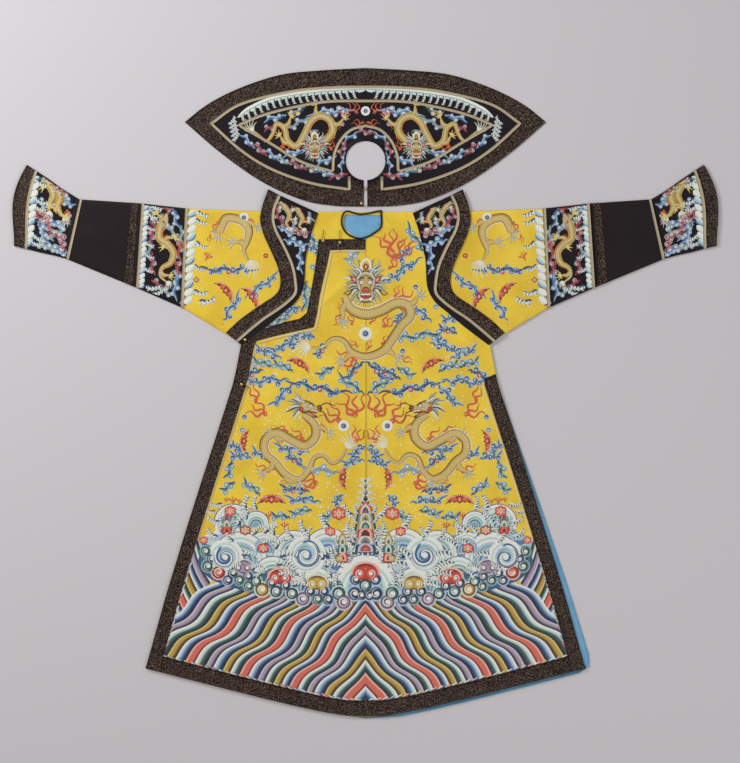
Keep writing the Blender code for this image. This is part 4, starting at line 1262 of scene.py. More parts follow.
class Needle:
    """Embroiders on one surface, each stitched grid at the cloth's own height plus a small rise."""

    def __init__(self, surface: Callable, sign: float = 1.0, limits: Callable | None = None) -> None:
        """Keep the surface and start the silk and the gold work.

        Args:
            surface: Gives the height of the cloth at places x and y.
            sign: -1 turns everything over to the robe's other half.
            limits: Gives the lowest and highest y for each x, where seams cut the embroidery off.
        """
        self.surface = surface
        self.sign = sign
        self.limits = limits
        self.silk = Patchwork()
        self.gold = Patchwork()

    def lay(self, xy: Array, rise: Array, colour: Array, uv: Array, ring: bool, gold: bool) -> None:
        """Put one grid on the cloth, facing up.

        Args:
            xy: Places.
            rise: Height above the cloth at each.
            colour: Colour at each.
            uv: Map of each point, along the stitched line and across it, in millimetres.
            ring: Whether the last row joins the first.
            gold: Whether it is worked in gold thread.
        """
        if self.limits is not None:
            low, high = self.limits(xy[..., 0])
            if (xy[..., 1] > high).all() or (xy[..., 1] < low).all():
                return
            xy = np.dstack((xy[..., 0], np.clip(xy[..., 1], low, high)))
        xy = xy * (self.sign, 1.0)
        one, other = xy[1:, 1:] - xy[:-1, :-1], xy[:-1, 1:] - xy[1:, :-1]
        if (one[..., 0] * other[..., 1] - one[..., 1] * other[..., 0]).sum() < 0.0:
            xy, rise, colour, uv = xy[:, ::-1], rise[:, ::-1], colour[:, ::-1], uv[:, ::-1]
        grid = np.dstack((xy, self.surface(xy[..., 0], xy[..., 1]) + rise))
        (self.gold if gold else self.silk).add(grid, colour, uv, ring)

    def stroke(self, line: Array, width: float, colours: Array, lift: float = 0.22, dome: float = 0.25,
               count: int = 10, taper: tuple[float, float] = (0.2, 0.5), gold: bool = False,
               waves: tuple[float, float] = (0.0, 0.0)) -> None:
        """Ribbon along a smooth curve: its width tapers as a root of the distance to each end, its middle is
        raised.

        Args:
            line: Points that the curve passes through.
            width: Full width.
            colours: Bands across, from its left to its right.
            lift: Height of its edges above the cloth.
            dome: Further height of its middle.
            count: Points along it.
            taper: Share of the length that narrows at the start and at the end.
            gold: Whether it is worked in gold thread.
            waves: Number of teeth along it and their share of the width, for fins and foam.
        """
        curve = smooth_line(np.asarray(line, float), count)
        t = np.linspace(0.0, 1.0, count)
        share = np.ones(count)
        if taper[0] > 0.0:
            share = np.minimum(share, np.sqrt(t / taper[0]))
        if taper[1] > 0.0:
            share = np.minimum(share, np.sqrt((1.0 - t) / taper[1]))
        share = np.maximum(share, 0.04)
        at, tint = banded(np.atleast_2d(colours))
        reach = width * share[:, None] * (0.5 - at)[None, :]
        if waves[0]:
            tooth = 1.0 - waves[1] * (t * waves[0] % 1.0)
            reach = width * share[:, None] * (0.5 - at[None, :]) * np.where(at[None, :] < 0.5,
                tooth[:, None], 1.0)
        xy = curve[:, None] + normals_of(curve)[:, None] * reach[..., None]
        rise = lift + dome * share[:, None] * (1.0 - (2.0 * at[None, :] - 1.0) ** 2)
        uv = np.dstack((run_of(curve)[:, None] + np.zeros_like(reach), reach))
        self.lay(xy, rise, tint[None] + np.zeros((count, 1, 1)), uv, False, gold)

    def shape(self, outline: Array, centre: Array, colours: Array, lift: float = 0.22, dome: float = 0.25,
              gold: bool = False) -> None:
        """Fill a closed outline in bands from its edge in to a centre.

        Args:
            outline: Points round it, without the first again at the end.
            centre: Point that the bands close on.
            colours: Bands from the edge inwards.
            lift: Height of its edge above the cloth.
            dome: Further height of its middle.
            gold: Whether it is worked in gold thread.
        """
        outline = np.asarray(outline, float)
        at, tint = banded(np.atleast_2d(colours))
        xy = across(outline, np.broadcast_to(np.asarray(centre, float), outline.shape), at)
        rise = lift + dome * (1.0 - (1.0 - at[None, :]) ** 2) + np.zeros(xy.shape[:2])
        reach = np.hypot(*(outline - centre).T)[:, None] * (1.0 - at)[None, :]
        uv = np.dstack((run_of(outline)[:, None] + np.zeros_like(reach), reach))
        self.lay(xy, rise, tint[None] + np.zeros((len(outline), 1, 1)), uv, True, gold)

    def disc(self, x: float, y: float, radius: float, colours: Array, lift: float = 0.22, dome: float = 0.25,
             sides: int = 14, flat: float = 1.0, gold: bool = False) -> None:
        """Round or oval spot in bands from its edge inwards; flat is its height over its width."""
        turn = np.linspace(0.0, 2.0 * math.pi, sides, endpoint=False)
        outline = np.column_stack((x + radius * np.cos(turn), y + radius * flat * np.sin(turn)))
        self.shape(outline, (x, y), colours, lift, dome, gold)

    def curl(self, x: float, y: float, radius: float, colours: Array, line: Array, start: float = 0.0,
             hand: float = 1.0, lift: float = 0.22, turns: float = 1.15) -> None:
        """Scroll head: a banded disc with a pale line that winds in to a bead at its middle.

        Args:
            x: Middle of the scroll.
            y: Middle of the scroll.
            radius: Its radius.
            colours: Bands of the disc from its edge inwards.
            line: Colour of the winding line and the bead.
            start: Angle where the line begins.
            hand: +1 winds to the left and -1 to the right.
            lift: Height of the disc's edge above the cloth.
            turns: Turns that the line winds.
        """
        self.disc(x, y, radius, colours, lift, 0.2)
        t = np.linspace(0.0, 1.0, 15)
        angle = start + hand * turns * 2.0 * math.pi * t
        reach = radius * (0.60 - 0.42 * t)
        winding = np.column_stack((x + reach * np.cos(angle), y + reach * np.sin(angle)))
        self.stroke(winding, radius * 0.17, line, lift + 0.22, 0.06, 12, (0.9, 0.1))
        self.disc(x, y, radius * 0.24, line, lift + 0.26, 0.08, 8)

    def finish(self, name: str, finishes: dict[str, Material], slot: str) -> None:
        """Make the two pieces, the silk and the gold work, where there are any."""
        for work, kind, finish in ((self.silk, "silk", "stitch"), (self.gold, "gold", "gold_stitch")):
            if work.count:
                work.object(f"{name}_{kind}_embroidery", finishes[finish], slot)


def on_body(x: Array, y: Array) -> Array:
    """Height of the fronts' upper side, which bends down behind the shoulders' fold."""
    height = FRONT_TOP + fine_relief(x, y)
    return droop(SHOULDER_Y - y, height, LINING_Z + CLOTH)


def inner_edge(y: Array) -> Array:
    """Distance from the middle of the side bands' inner edges at heights y."""
    return at_height(SIDE_TABLE, y) - SIDE_BAND


@dataclass
class Waters:
    """Lower border of the robe: slanting stripes of deep water, scroll heads, breaking waves and
    mountains."""

    needle: Needle
    stripes: Array = field(default_factory=lambda: np.array([
        # place on the hem's line from the middle of the main stripe, its half width
        (-45.0, 13.0), (-94.0, 11.0), (-143.0, 10.0), (-190.0, 12.0), (-234.0, 10.5), (-279.0, 10.0),
        (-328.0, 12.0), (-376.0, 10.5), (-424.0, 10.0), (-478.0, 12.5), (-530.0, 12.0), (-584.0, 11.0),
    ]))
    mains: tuple[str, ...] = ("pink coral coral coral dark_red", "pale_gold gold gold deep_gold umber",
                              "pale_lilac lilac lilac plum night")
    order: str = "cglcglcglcgl"
    between: tuple[str, str] = ("white pale_blue blue navy night", "white pale_aqua teal deep_green night")
    curls: Array = field(default_factory=lambda: CURL_PHOTO.placed("xyrnn", [
        # x, y, radius, look, whether double
        (398, 425, 30, 0, 0), (430, 470, 27, 1, 0), (410, 515, 34, 0, 0), (475, 550, 40, 2, 0),
        (560, 555, 32, 1, 0), (620, 525, 50, 3, 1), (650, 575, 30, 1, 0), (530, 600, 30, 1, 0),
        (600, 600, 30, 0, 0), (655, 635, 30, 0, 0), (700, 605, 32, 5, 0), (735, 655, 40, 4, 0),
        (790, 615, 32, 1, 0), (875, 630, 32, 1, 0), (845, 585, 56, 2, 1), (820, 665, 36, 5, 0),
        (915, 680, 35, 5, 0), (980, 710, 40, 3, 0), (1022, 665, 33, 1, 0), (1105, 665, 33, 1, 0),
        (1065, 622, 52, 4, 1), (1068, 712, 32, 0, 0), (1130, 715, 33, 1, 0), (1195, 680, 40, 5, 0),
        (1225, 730, 42, 3, 0), (1290, 680, 40, 1, 0), (1295, 595, 34, 1, 0), (1330, 690, 30, 1, 0),
        (1356, 630, 38, 5, 0), (1356, 560, 64, 2, 1),
    ]))

    def build(self) -> None:
        """Work both halves."""
        for hand in (-1.0, 1.0):
            self.curtain(hand)
            self.corner(hand)
            self.scrolls(hand)

    def path(self, s: Array, q: Array) -> Array:
        """Places on the stripes of the left half: from the hem's line s, up to the right along q, in soft
        waves."""
        angle = np.radians(np.interp(s, (-620.0, -300.0, 0.0), (38.0, 46.0, 51.0)))
        base = np.stack((s, np.interp(s, (-700.0, -557.0, 0.0), (-640.0, -705.0, -838.0))), axis=-1)
        along = np.stack((np.cos(angle), np.sin(angle)), axis=-1)
        side = np.stack((-np.sin(angle), np.cos(angle)), axis=-1)
        calm = np.clip(-(base[..., 0] + along[..., 0] * q) / 90.0, 0.0, 1.0)
        wave = 8.5 * calm * np.sin(q / 150.0 * 2.0 * math.pi + 0.9 + s / 300.0)
        return base + along * q[..., None] + side * wave[..., None]

    def curtain(self, hand: float) -> None:
        """Every stripe of one half, as a ribbon whose ends are where its line leaves the border's ground."""
        looks = [self.mains["cgl".index(letter)] for letter in self.order]
        for index, (middle, half) in enumerate(self.stripes):
            self.ribbon(middle - half, middle + half, looks[index], hand)
            low = self.stripes[index + 1].sum() if index + 1 < len(self.stripes) else middle - half - 26.0
            self.ribbon(low, middle - half, self.between[(index + 1) % 2], hand)
        self.ribbon(-32.0, -7.0, self.between[0], hand)

    def ribbon(self, first: float, last: float, look: str, hand: float) -> None:
        """One stripe between two places on the hem's line; its colour bands run from its upper left side."""
        at, tint = banded(inks(look), 0.7)
        s = first + (last - first) * at
        q = np.linspace(-60.0, 520.0, 291)
        place = self.path(s[None, :] + np.zeros((len(q), 1)), q[:, None] + np.zeros((1, len(s))))
        x, y = place[..., 0], place[..., 1]
        inside = (x < 1.6) & (x > -inner_edge(y) - 3.0) & (y > hem_y(x) + HEM_BAND - 3.0)
        inside &= y < self.crest(x)
        rows = []
        for column in range(len(s)):
            held = np.flatnonzero(inside[:, column])
            if len(held) < 3:
                return
            rows.append(np.linspace(q[held[0]], q[held[-1]], 30))
        grid_q = np.array(rows).T
        grid = self.path(s[None, :] + np.zeros_like(grid_q), grid_q)
        rise = 0.18 + 0.16 * (1.0 - (2.0 * at - 1.0) ** 2)[None, :] + np.zeros_like(grid_q)
        uv = np.dstack((grid_q, s[None, :] + np.zeros_like(grid_q)))
        self.needle.lay(grid * (-hand, 1.0), rise, tint[None] + np.zeros((30, 1, 1)), uv, False, False)

    def crest(self, x: Array) -> Array:
        """Height up to which the stripes are worked: under the row of scroll heads."""
        return np.interp(-np.abs(x), (-520.0, -430.0, -300.0, -150.0, -60.0, 0.0),
                         (-440.0, -500.0, -520.0, -540.0, -545.0, -540.0))

    def corner(self, hand: float) -> None:
        """Stripes that lean the other way in the outer corner, tucked under the first of the long ones."""
        looks = (self.between[1], self.mains[2], self.between[0], self.mains[1], self.between[1],
                 self.mains[0],
                 self.between[0], self.mains[2])
        start = 0.0
        for index, look in enumerate(looks):
            width = 17.0 if index % 2 else 15.0
            at, tint = banded(inks(look)[::-1], 0.7)
            t = np.linspace(0.0, 1.0, 16)[:, None]
            s = start + width * at[None, :]
            low = np.stack((-405.0 - s * 0.86, -498.0 - s * 1.02), axis=-1)
            high = np.stack((-455.0 - s * 0.60, -380.0 - s * 1.16), axis=-1)
            grid = low * (1.0 - t[..., None]) + high * t[..., None]
            grid[..., 0] += 9.0 * np.sin(t * math.pi) * -1.0
            grid[..., 0] = np.maximum(grid[..., 0], -inner_edge(grid[..., 1]) - 3.0)
            rise = 0.1 + 0.1 * (1.0 - (2.0 * at - 1.0) ** 2)[None, :] + np.zeros(grid.shape[:2])
            uv = np.dstack((t * 120.0 + np.zeros_like(rise), s + np.zeros_like(rise)))
            self.needle.lay(grid * (-hand, 1.0), rise, tint[None] + np.zeros((16, 1, 1)), uv, False, False)
            start += width

    def scrolls(self, hand: float) -> None:
        """Row of scroll heads; the double ones have a second winding and a notch between them."""
        looks = {0: "aqua teal deep_green teal deep_green", 1: "pale_blue mid_blue night navy night",
                 2: "pink dark_red red coral dark_red", 3: "pale_lilac plum lilac plum lilac",
                 4: "cream deep_gold gold pale_gold deep_gold", 5: "pale_aqua deep_green teal aqua teal"}
        ground = np.array(((-436.0, -425.0), (-408.0, -474.0), (-350.0, -498.0), (-285.0, -516.0),
                           (-230.0, -516.0),
                           (-185.0, -532.0), (-135.0, -530.0), (-90.0, -540.0), (-45.0, -540.0),
                           (2.0, -520.0)))
        self.needle.stroke(ground * (-hand, 1.0), 58.0,
                           inks("mid_blue teal navy mid_blue blue teal mid_blue"), 0.36,
                           0.04, 60, (0.05, 0.0))
        for x, y, radius, look, double in self.curls:
            if hand > 0.0 and abs(x) < 2.0:
                continue
            colours = inks(looks[int(look)])
            radius *= 1.26
            if double:
                self.needle.disc(-hand * x, y + radius * 0.1, radius * 1.12, colours, 0.45, 0.15, 20, 0.72)
                for turn in (-1.0, 1.0):
                    self.needle.curl(-hand * x + turn * radius * 0.45, y, radius * 0.5, colours[2:],
                                     inks("white"),
                                     -0.5 * math.pi, turn, 0.6)
            else:
                self.needle.curl(-hand * x, y, radius, colours, inks("white"), 0.4 * math.pi * hand, hand,
                                 0.45)


@dataclass
class Surf:
    """Breaking waves above the scroll heads: banded domes, swirls, foam, coral, flowers and layered
    mountains."""

    needle: Needle
    domes: Array = field(default_factory=lambda: HEM_PHOTO.placed("xyrn", [
        # x, y, radius, look
        (560, 255, 112, 0), (700, 262, 76, 0), (748, 408, 100, 1), (600, 475, 165, 1), (925, 425, 124, 0),
        (1130, 435, 148, 1), (800, 575, 118, 2), (690, 620, 70, 0), (1050, 648, 128, 2),
        (1205, 640, 92, 2), (930, 640, 70, 0), (1356, 645, 198, 3),
    ]))
    swirls: Array = field(default_factory=lambda: HEM_PHOTO.placed("xyrn", [
        # x, y, radius, hand
        (515, 462, 108, 1), (1000, 450, 118, -1),
    ]))
    foams: Array = field(default_factory=lambda: HEM_PHOTO.placed("xynr", [
        # x, y, turn in degrees, size
        (630, 150, 20, 60), (690, 150, 35, 50), (470, 150, 120, 45), (600, 240, -10, 60),
        (640, 205, 10, 50), (770, 290, -30, 60), (800, 300, 20, 50), (700, 300, -20, 50),
        (880, 440, -60, 70), (860, 500, -80, 60), (760, 370, -40, 55), (650, 440, -70, 60),
        (690, 520, -40, 50), (905, 500, -100, 60), (1110, 440, -20, 70), (1150, 500, -60, 70),
        (985, 300, 60, 60), (1110, 260, 60, 60), (1240, 450, 70, 70), (1250, 360, 50, 70),
        (1170, 480, 60, 55), (1320, 420, 100, 70), (1250, 300, 40, 50), (950, 620, -60, 60),
        (985, 600, 40, 50), (1140, 560, 30, 50), (1180, 600, 20, 50), (870, 560, -60, 60),
        (720, 560, -20, 50), (455, 250, 100, 50), (440, 330, 80, 50), (430, 190, 110, 40),
        (1255, 200, 70, 60), (1300, 330, 90, 50), (560, 520, -30, 50), (900, 330, 60, 50),
        (830, 380, -20, 60), (1010, 330, 20, 50), (540, 350, 60, 50),
    ]))
    corals: Array = field(default_factory=lambda: HEM_PHOTO.placed("xynr", [
        # x, y, turn in degrees, size
        (560, 125, 90, 60), (775, 215, 90, 55), (870, 275, 90, 60), (1210, 180, 70, 45),
        (520, 120, 80, 40), (600, 130, 70, 40),
    ]))
    flowers: Array = field(default_factory=lambda: HEM_PHOTO.placed("xyrn", [
        # x, y, radius, look
        (545, 185, 36, 2), (385, 360, 26, 2), (742, 408, 34, 2), (1145, 308, 32, 2), (1195, 200, 44, 2),
        (635, 300, 34, 3), (1200, 470, 26, 4), (475, 545, 10, 2),
    ]))
    looks: tuple[str, ...] = (
        "white white pale_aqua white pale_aqua aqua pale_aqua teal aqua pale_blue blue pale_blue mid_blue",
        "white white pale_aqua white pale_blue aqua pale_blue blue pale_blue blue mid_blue blue navy",
        "white white pale_aqua white aqua pale_aqua teal aqua teal aqua deep_green teal",
        "white white white pale_aqua white pale_aqua aqua pale_aqua teal aqua mid_blue blue mid_blue",
    )
    petals: tuple[str, ...] = ("", "", "red coral pink", "dark_red orange cream",
                               "deep_green pale_gold coral")

    def build(self) -> None:
        """Work both halves, the pieces behind first."""
        ground = np.array(((-446.0, -392.0), (-420.0, -412.0), (-350.0, -425.0), (-270.0, -440.0),
                           (-190.0, -440.0),
                           (-110.0, -450.0), (-40.0, -475.0), (2.0, -480.0)))
        for hand in (-1.0, 1.0):
            self.needle.stroke(ground * (-hand, 1.0), 112.0,
                               inks("white pale_blue pale_aqua blue pale_blue aqua"), 0.08,
                               0.04, 60, (0.12, 0.0))
            for index, (x, y, radius, look) in enumerate(self.domes):
                if hand > 0.0 and abs(x) < 2.0:
                    continue
                self.dome(-hand * x, y, radius, self.looks[int(look)], 0.14 + 0.02 * index)
            for x, y, radius, way in self.swirls:
                self.swirl(-hand * x, y, radius, -hand * way)
            for x, y, turn, size in self.foams:
                spot = Spot(x, y, size / 7.0, math.radians(turn))
                self.foam(spot if hand < 0.0 else spot.other())
            for x, y, turn, size in self.corals:
                spot = Spot(x, y, size / 10.0, math.radians(turn - 90.0))
                self.coral(spot if hand < 0.0 else spot.other())
            for x, y, radius, look in self.flowers:
                self.flower(-hand * x, y, radius, inks(self.petals[int(look)]))
            self.mountain(-hand * -374.0, -382.0, 17.0, 62.0, 0)
            self.mountain(-hand * -62.0, -460.0, 20.0, 86.0, 1)
        self.mountain(0.0, -437.0, 36.0, 160.0, 2)
        self.plume(0.0, -296.0)

    def dome(self, x: float, y: float, radius: float, look: str, lift: float) -> None:
        """Wave's back: a disc in fine rings from foam white to blue, whose lower part others cover."""
        turn = np.linspace(0.0, 2.0 * math.pi, 30, endpoint=False)
        outline = np.column_stack((x + radius * np.cos(turn), y + radius * np.sin(turn)))
        outline[:, 1] = np.maximum(outline[:, 1], y - 0.35 * radius)
        self.needle.shape(outline, (x, y - 0.2 * radius), inks(look), lift, 0.1)
        turn = np.radians(np.linspace(-18.0, 198.0, 20))
        edge = np.column_stack((x + radius * np.cos(turn), y + radius * np.sin(turn)))
        self.needle.stroke(edge, 2.2, inks("mid_blue"), lift + 0.02, 0.02, 26, (0.05, 0.05))

    def swirl(self, x: float, y: float, radius: float, hand: float) -> None:
        """Curling wave: a banded disc with a white ribbon that winds in twice between blue lines."""
        self.needle.disc(x, y, radius,
                         inks("white white pale_aqua white pale_blue aqua pale_blue blue mid_blue blue"),
                         0.5, 0.1, 26)
        t = np.linspace(0.0, 1.0, 15)
        for width, lag, look in ((0.34, 0.0, "mid_blue blue pale_blue pale_aqua"), (0.16, 0.10, "white"),
                                 (0.05, 0.30, "mid_blue")):
            angle = 0.6 * math.pi + hand * (2.6 * math.pi * t + lag * 3.0)
            reach = radius * (0.66 - 0.56 * t)
            line = np.column_stack((x + reach * np.cos(angle), y + reach * np.sin(angle)))
            self.needle.stroke(line, radius * width, inks(look), 0.66 + lag, 0.05, 34, (0.1, 0.3))
        self.needle.disc(x, y, radius * 0.16, inks("white"), 0.95, 0.1, 10)

    def foam(self, spot: Spot, fingers: int = 5) -> None:
        """Spray: white fingers that fan from a blue stem and hook over at their tips."""
        stem = np.array(((-1.0, -4.6), (0.0, 0.0), (2.2, 3.4), (6.2, 5.0)))
        self.needle.stroke(spot.at(stem), 3.4 * spot.size, inks("white pale_aqua mid_blue deep_green"), 0.62,
                           0.12, 12,
                           (0.1, 0.8))
        for index in range(fingers):
            u = (index + 0.3) / fingers
            root = np.array((-0.8 + 5.6 * u, -4.0 + 9.0 * u**0.7))
            knee = root + (-2.3 + 1.2 * u, 1.5 + 0.9 * u)
            tip = root + (-3.9 + 2.0 * u, -0.2 + 2.2 * u)
            self.needle.stroke(spot.at(np.array((root, knee, tip))), 1.7 * spot.size,
                               inks("teal white white"), 0.7,
                               0.15, 6, (0.0, 0.85))

    def coral(self, spot: Spot) -> None:
        """Branch of coral: a stem with four crooked twigs."""
        lines = (((0.0, -4.0), (0.4, 0.0), (-0.3, 3.0), (0.4, 5.0)), ((0.2, -1.5), (-2.0, 0.6), (-2.2, 3.2)),
                 ((0.2, -0.5), (2.2, 1.2), (2.0, 3.9)), ((-1.8, 0.6), (-3.6, 1.5), (-3.4, 2.8)),
                 ((2.0, 1.0), (3.8, 1.4), (4.0, 2.7)))
        for line in lines:
            self.needle.stroke(spot.at(np.array(line)), 0.9 * spot.size, inks("coral red"), 0.75, 0.15, 8,
                               (0.0, 0.4))

    def flower(self, x: float, y: float, radius: float, colours: Array) -> None:
        """Blossom: six banded petals round a pale eye, the lower ones wider."""
        for angle in np.radians(np.arange(30.0, 390.0, 60.0)):
            self.needle.disc(x + 0.58 * radius * math.cos(angle), y + 0.45 * radius * math.sin(angle),
                             0.46 * radius,
                             colours, 0.86, 0.15, 10)
        self.needle.disc(x, y, 0.34 * radius, inks("cream pale_gold coral"), 1.0, 0.12, 9)

    def mountain(self, x: float, y: float, half: float, height: float, look: int) -> None:
        """Layered mountain: tall banded peak, then pointed tongues stacked up its face.

        Args:
            x: Middle of its foot.
            y: Height of its foot on the robe.
            half: Half width of its foot.
            height: Distance from foot to peak.
            look: Which order of colours its tongues have.
        """
        u = np.linspace(0.0, 1.0, 12)
        side = half * (1.0 - 0.5 * u) * (1.0 + 0.04 * np.sin(u * 19.0)) * np.clip((1.0 - u) / 0.3, 0.04,
            1.0) ** 0.8
        outline = np.vstack((np.column_stack((x + side, y + u * height)),
                             np.column_stack((x - side, y + u * height))[::-1]))
        self.needle.shape(outline, (x, y + 0.2 * height),
                          inks("deep_green aqua white mid_blue blue pale_blue teal"),
                          0.60, 0.15)
        orders = (("red coral dark_red", "aqua cream teal", "lilac plum red"),
                  ("red pink dark_red", "teal pale_aqua deep_green", "gold cream teal"),
                  ("navy pale_blue red coral", "lilac cream grey plum", "red pink dark_red navy",
                   "gold cream teal aqua", "grey pale_aqua gold teal", "coral cream mid_blue red"))[look]
        steps = len(orders)
        for index in range(int(height / 38.0) + 1):
            u0 = 0.10 + 0.8 * index / (int(height / 38.0) + 1)
            for way in (-1.0, 1.0):
                self.foam(Spot(x + way * half * (1.08 - 0.52 * u0), y + u0 * height, 2.3, way * -0.9,
                               way * -1.0), 4)
        for index in range(steps - 1, -1, -1):
            u0 = 0.03 + 0.76 * index / steps
            width = half * (0.80 - 0.46 * u0)
            self.tongue(x, y + u0 * height, width, height * 1.4 / steps, inks(orders[index]),
                        0.86 - 0.02 * index)

    def plume(self, x: float, y: float) -> None:
        """Spray above the middle peak: a blue stem with pairs of white fronds that curl outwards and down."""
        self.needle.stroke(np.array(((x, y - 30.0), (x + 1.0, y), (x, y + 60.0))), 7.0,
                           inks("pale_aqua mid_blue teal"),
                           0.4, 0.2, 20, (0.0, 0.6))
        for index in range(5):
            root = y - 18.0 + 17.0 * index
            reach = 27.0 - 3.5 * index
            for way in (-1.0, 1.0):
                line = np.array(((x, root), (x + way * reach * 0.55, root + 12.0),
                                 (x + way * reach, root + 4.0)))
                self.needle.stroke(line, 6.5, inks("white white blue deep_green")[::int(-way)], 0.5, 0.2, 12,
                                   (0.1, 0.7))
                for step in (0.35, 0.6, 0.85):
                    foot = np.array((x + way * reach * step, root + 11.0 - 4.0 * step))
                    hook = np.array((foot, foot + (way * 2.0, 5.5), foot + (way * 6.5, 5.0)))
                    self.needle.stroke(hook, 3.0, inks("white"), 0.7, 0.15, 6, (0.0, 0.85))

    def tongue(self, x: float, y: float, half: float, height: float, colours: Array, lift: float) -> None:
        """Pointed arch in bands: straight sides that bow in to a peak."""
        v = np.array((0.0, 0.3, 0.55, 0.75, 0.9, 1.0))
        side = half * np.array((1.0, 0.98, 0.86, 0.58, 0.26, 0.03))
        outline = np.vstack((np.column_stack((x + side, y + v * height)),
                             np.column_stack((x - side, y + v * height))[::-1]))
        self.needle.shape(outline, (x, y + 0.22 * height), colours, lift, 0.1)


class Motifs:
    """Small motifs of the embroidery, each drawn in its own units round a spot."""

    looks: tuple[tuple[str, str], ...] = (
        ("navy mid_blue blue pale_blue", "mid_blue blue pale_blue"),
        ("teal aqua pale_aqua", "deep_green teal aqua"),
        ("grey pale_aqua cream", "grey aqua grey"), ("navy mid_blue blue pale_blue", "navy mid_blue blue"),
        ("dark_red red coral", "dark_red red dark_red"), ("blue pale_blue white", "mid_blue blue pale_blue"),
        ("gold pale_gold cream", "deep_green teal aqua"),
    )

    def __init__(self, needle: Needle, gold_sky: bool = True) -> None:
        """Keep the needle and whether the ground is bright, which decides the flames' edges."""
        self.needle = needle
        self.gold_sky = gold_sky

    def cloud(self, spot: Spot, length: float, heads: int, look: int, head: float = 7.2) -> None:
        """Cloud: a wavy ribbon that ends in a thin tail, with scroll heads on alternate sides of it.

        Args:
            spot: Its middle and turn.
            length: Length of the ribbon.
            heads: Number of scroll heads.
            look: Which colours it has; the last look has one red head.
            head: Radius of a scroll head.
        """
        colours, ribbon = self.looks[look]
        if heads > 1:
            heads = int(heads * 1.2) + 1 if head > 5.5 else heads
        t = np.linspace(-0.5, 0.5, 15)
        wave = 0.75 * head * np.sin(t * 2.0 * math.pi * max(1.0, length / (7.0 * head)))
        line = np.column_stack((t * length * 1.15, wave))
        tail = np.vstack((line[0] - (length * 0.3, -head * 0.6), line))
        if heads > 1:
            halo = inks("pale_blue") if self.gold_sky else inks("mid_blue")
            self.needle.stroke(spot.at(tail), head * 2.1, halo, 0.16, 0.03, 16, (0.6, 0.05))
            self.needle.stroke(spot.at(tail), head * 1.5, inks(ribbon), 0.24, 0.12, 20, (0.5, 0.05))
            wisp = np.array((line[-1], line[-1] + (length * 0.16, head * 0.9),
                             line[-1] + (length * 0.34, head * 0.2)))
            self.needle.stroke(spot.at(wisp), head * 1.1, inks(ribbon), 0.22, 0.1, 10, (0.0, 0.9))
        for index in range(heads):
            u = (index + 0.5) / heads - 0.5
            side = 1.0 if index % 2 else -1.0
            y = float(np.interp(u, t, wave)) + side * head * 0.95
            x, y = spot.at(np.array(((u * length * 1.1, y if heads > 1 else 0.0),)))[0]
            red = look == 3 and index == heads // 2
            if index % 2 and look in (0, 3):
                colours = "deep_green teal aqua"
            elif look in (0, 3):
                colours = "navy mid_blue blue"
            tint = inks("dark_red red coral pink" if red else colours)
            size = head * (1.0 + 0.12 * math.sin(index * 2.3)) * spot.size
            rim = inks("pink" if red else "pale_blue")
            self.needle.disc(x, y, size * 1.08, np.vstack((rim, tint)), 0.3, 0.15, 12)
            turn = np.linspace(0.0, 4.4, 6) * side + index + spot.turn
            reach = size * np.linspace(0.62, 0.08, 6)
            hook = np.column_stack((x + reach * np.cos(turn), y + reach * np.sin(turn)))
            self.needle.stroke(hook, size * 0.34, inks("white"), 0.5, 0.06, 8, (0.9, 0.1))

    def bat(self, spot: Spot, span: float) -> None:
        """Bat: a plump body, two scalloped wings that sweep down at their tips, and small ears."""
        half = span * 0.66
        upper = np.array(((0.0, 0.14), (0.22, 0.34), (0.5, 0.30), (0.8, 0.12), (1.0, -0.32)))
        lower = np.array(((1.0, -0.32), (0.82, -0.16), (0.66, -0.20), (0.5, -0.08), (0.36, -0.2), (0.2, -0.1),
                          (0.0, -0.24)))
        for side in (-1.0, 1.0):
            wing = np.vstack((upper, lower[1:])) * (side * half, half)
            self.needle.shape(spot.at(wing), spot.at(np.array(((side * 0.42 * half, 0.06 * half),)))[0],
                              inks("dark_red red orange coral"), 0.24, 0.12)
            edge = upper[1:] * (side * half, half) * (0.92, 0.8)
            self.needle.stroke(spot.at(edge), half * 0.08, inks("pink"), 0.42, 0.03, 8, (0.2, 0.3))
            ear = np.array(((side * 0.04, 0.2), (side * 0.1, 0.42))) * half
            self.needle.stroke(spot.at(ear), half * 0.1, inks("red"), 0.4, 0.05, 4, (0.0, 0.5))
        body = spot.at(np.array(((0.0, 0.04 * half),)))[0]
        self.needle.disc(*body, 0.2 * half, inks("dark_red coral pink"), 0.42, 0.15, 10, 1.3)

    def flame(self, spot: Spot, length: float, tongues: int) -> None:
        """Flame: tongues that fan from one root, each a wavy red line with a lighter filling beside it."""
        for index in range(tongues):
            fan = (index - (tongues - 1) / 2.0) * 0.42
            size = length * (1.0 - 0.18 * (index % 2) - 0.08 * abs(fan))
            t = np.linspace(0.0, 1.0, 11)
            bend = 0.14 * size * np.sin(t * 3.1 * math.pi + index * 1.7) * (1.0 - 0.3 * t)
            line = np.column_stack((t * size * math.cos(fan) - bend * math.sin(fan) - 0.3 * size,
                                    t * size * math.sin(fan) + bend * math.cos(fan)))
            if self.gold_sky:
                self.needle.stroke(spot.at(line * 0.96), length * 0.17, inks("pale_gold orange orange"), 0.2,
                                   0.06, 14,
                                   (0.15, 0.9))
            self.needle.stroke(spot.at(line), length * 0.034 + 1.2, inks("orange red"), 0.3, 0.14, 20,
                               (0.1, 0.6))

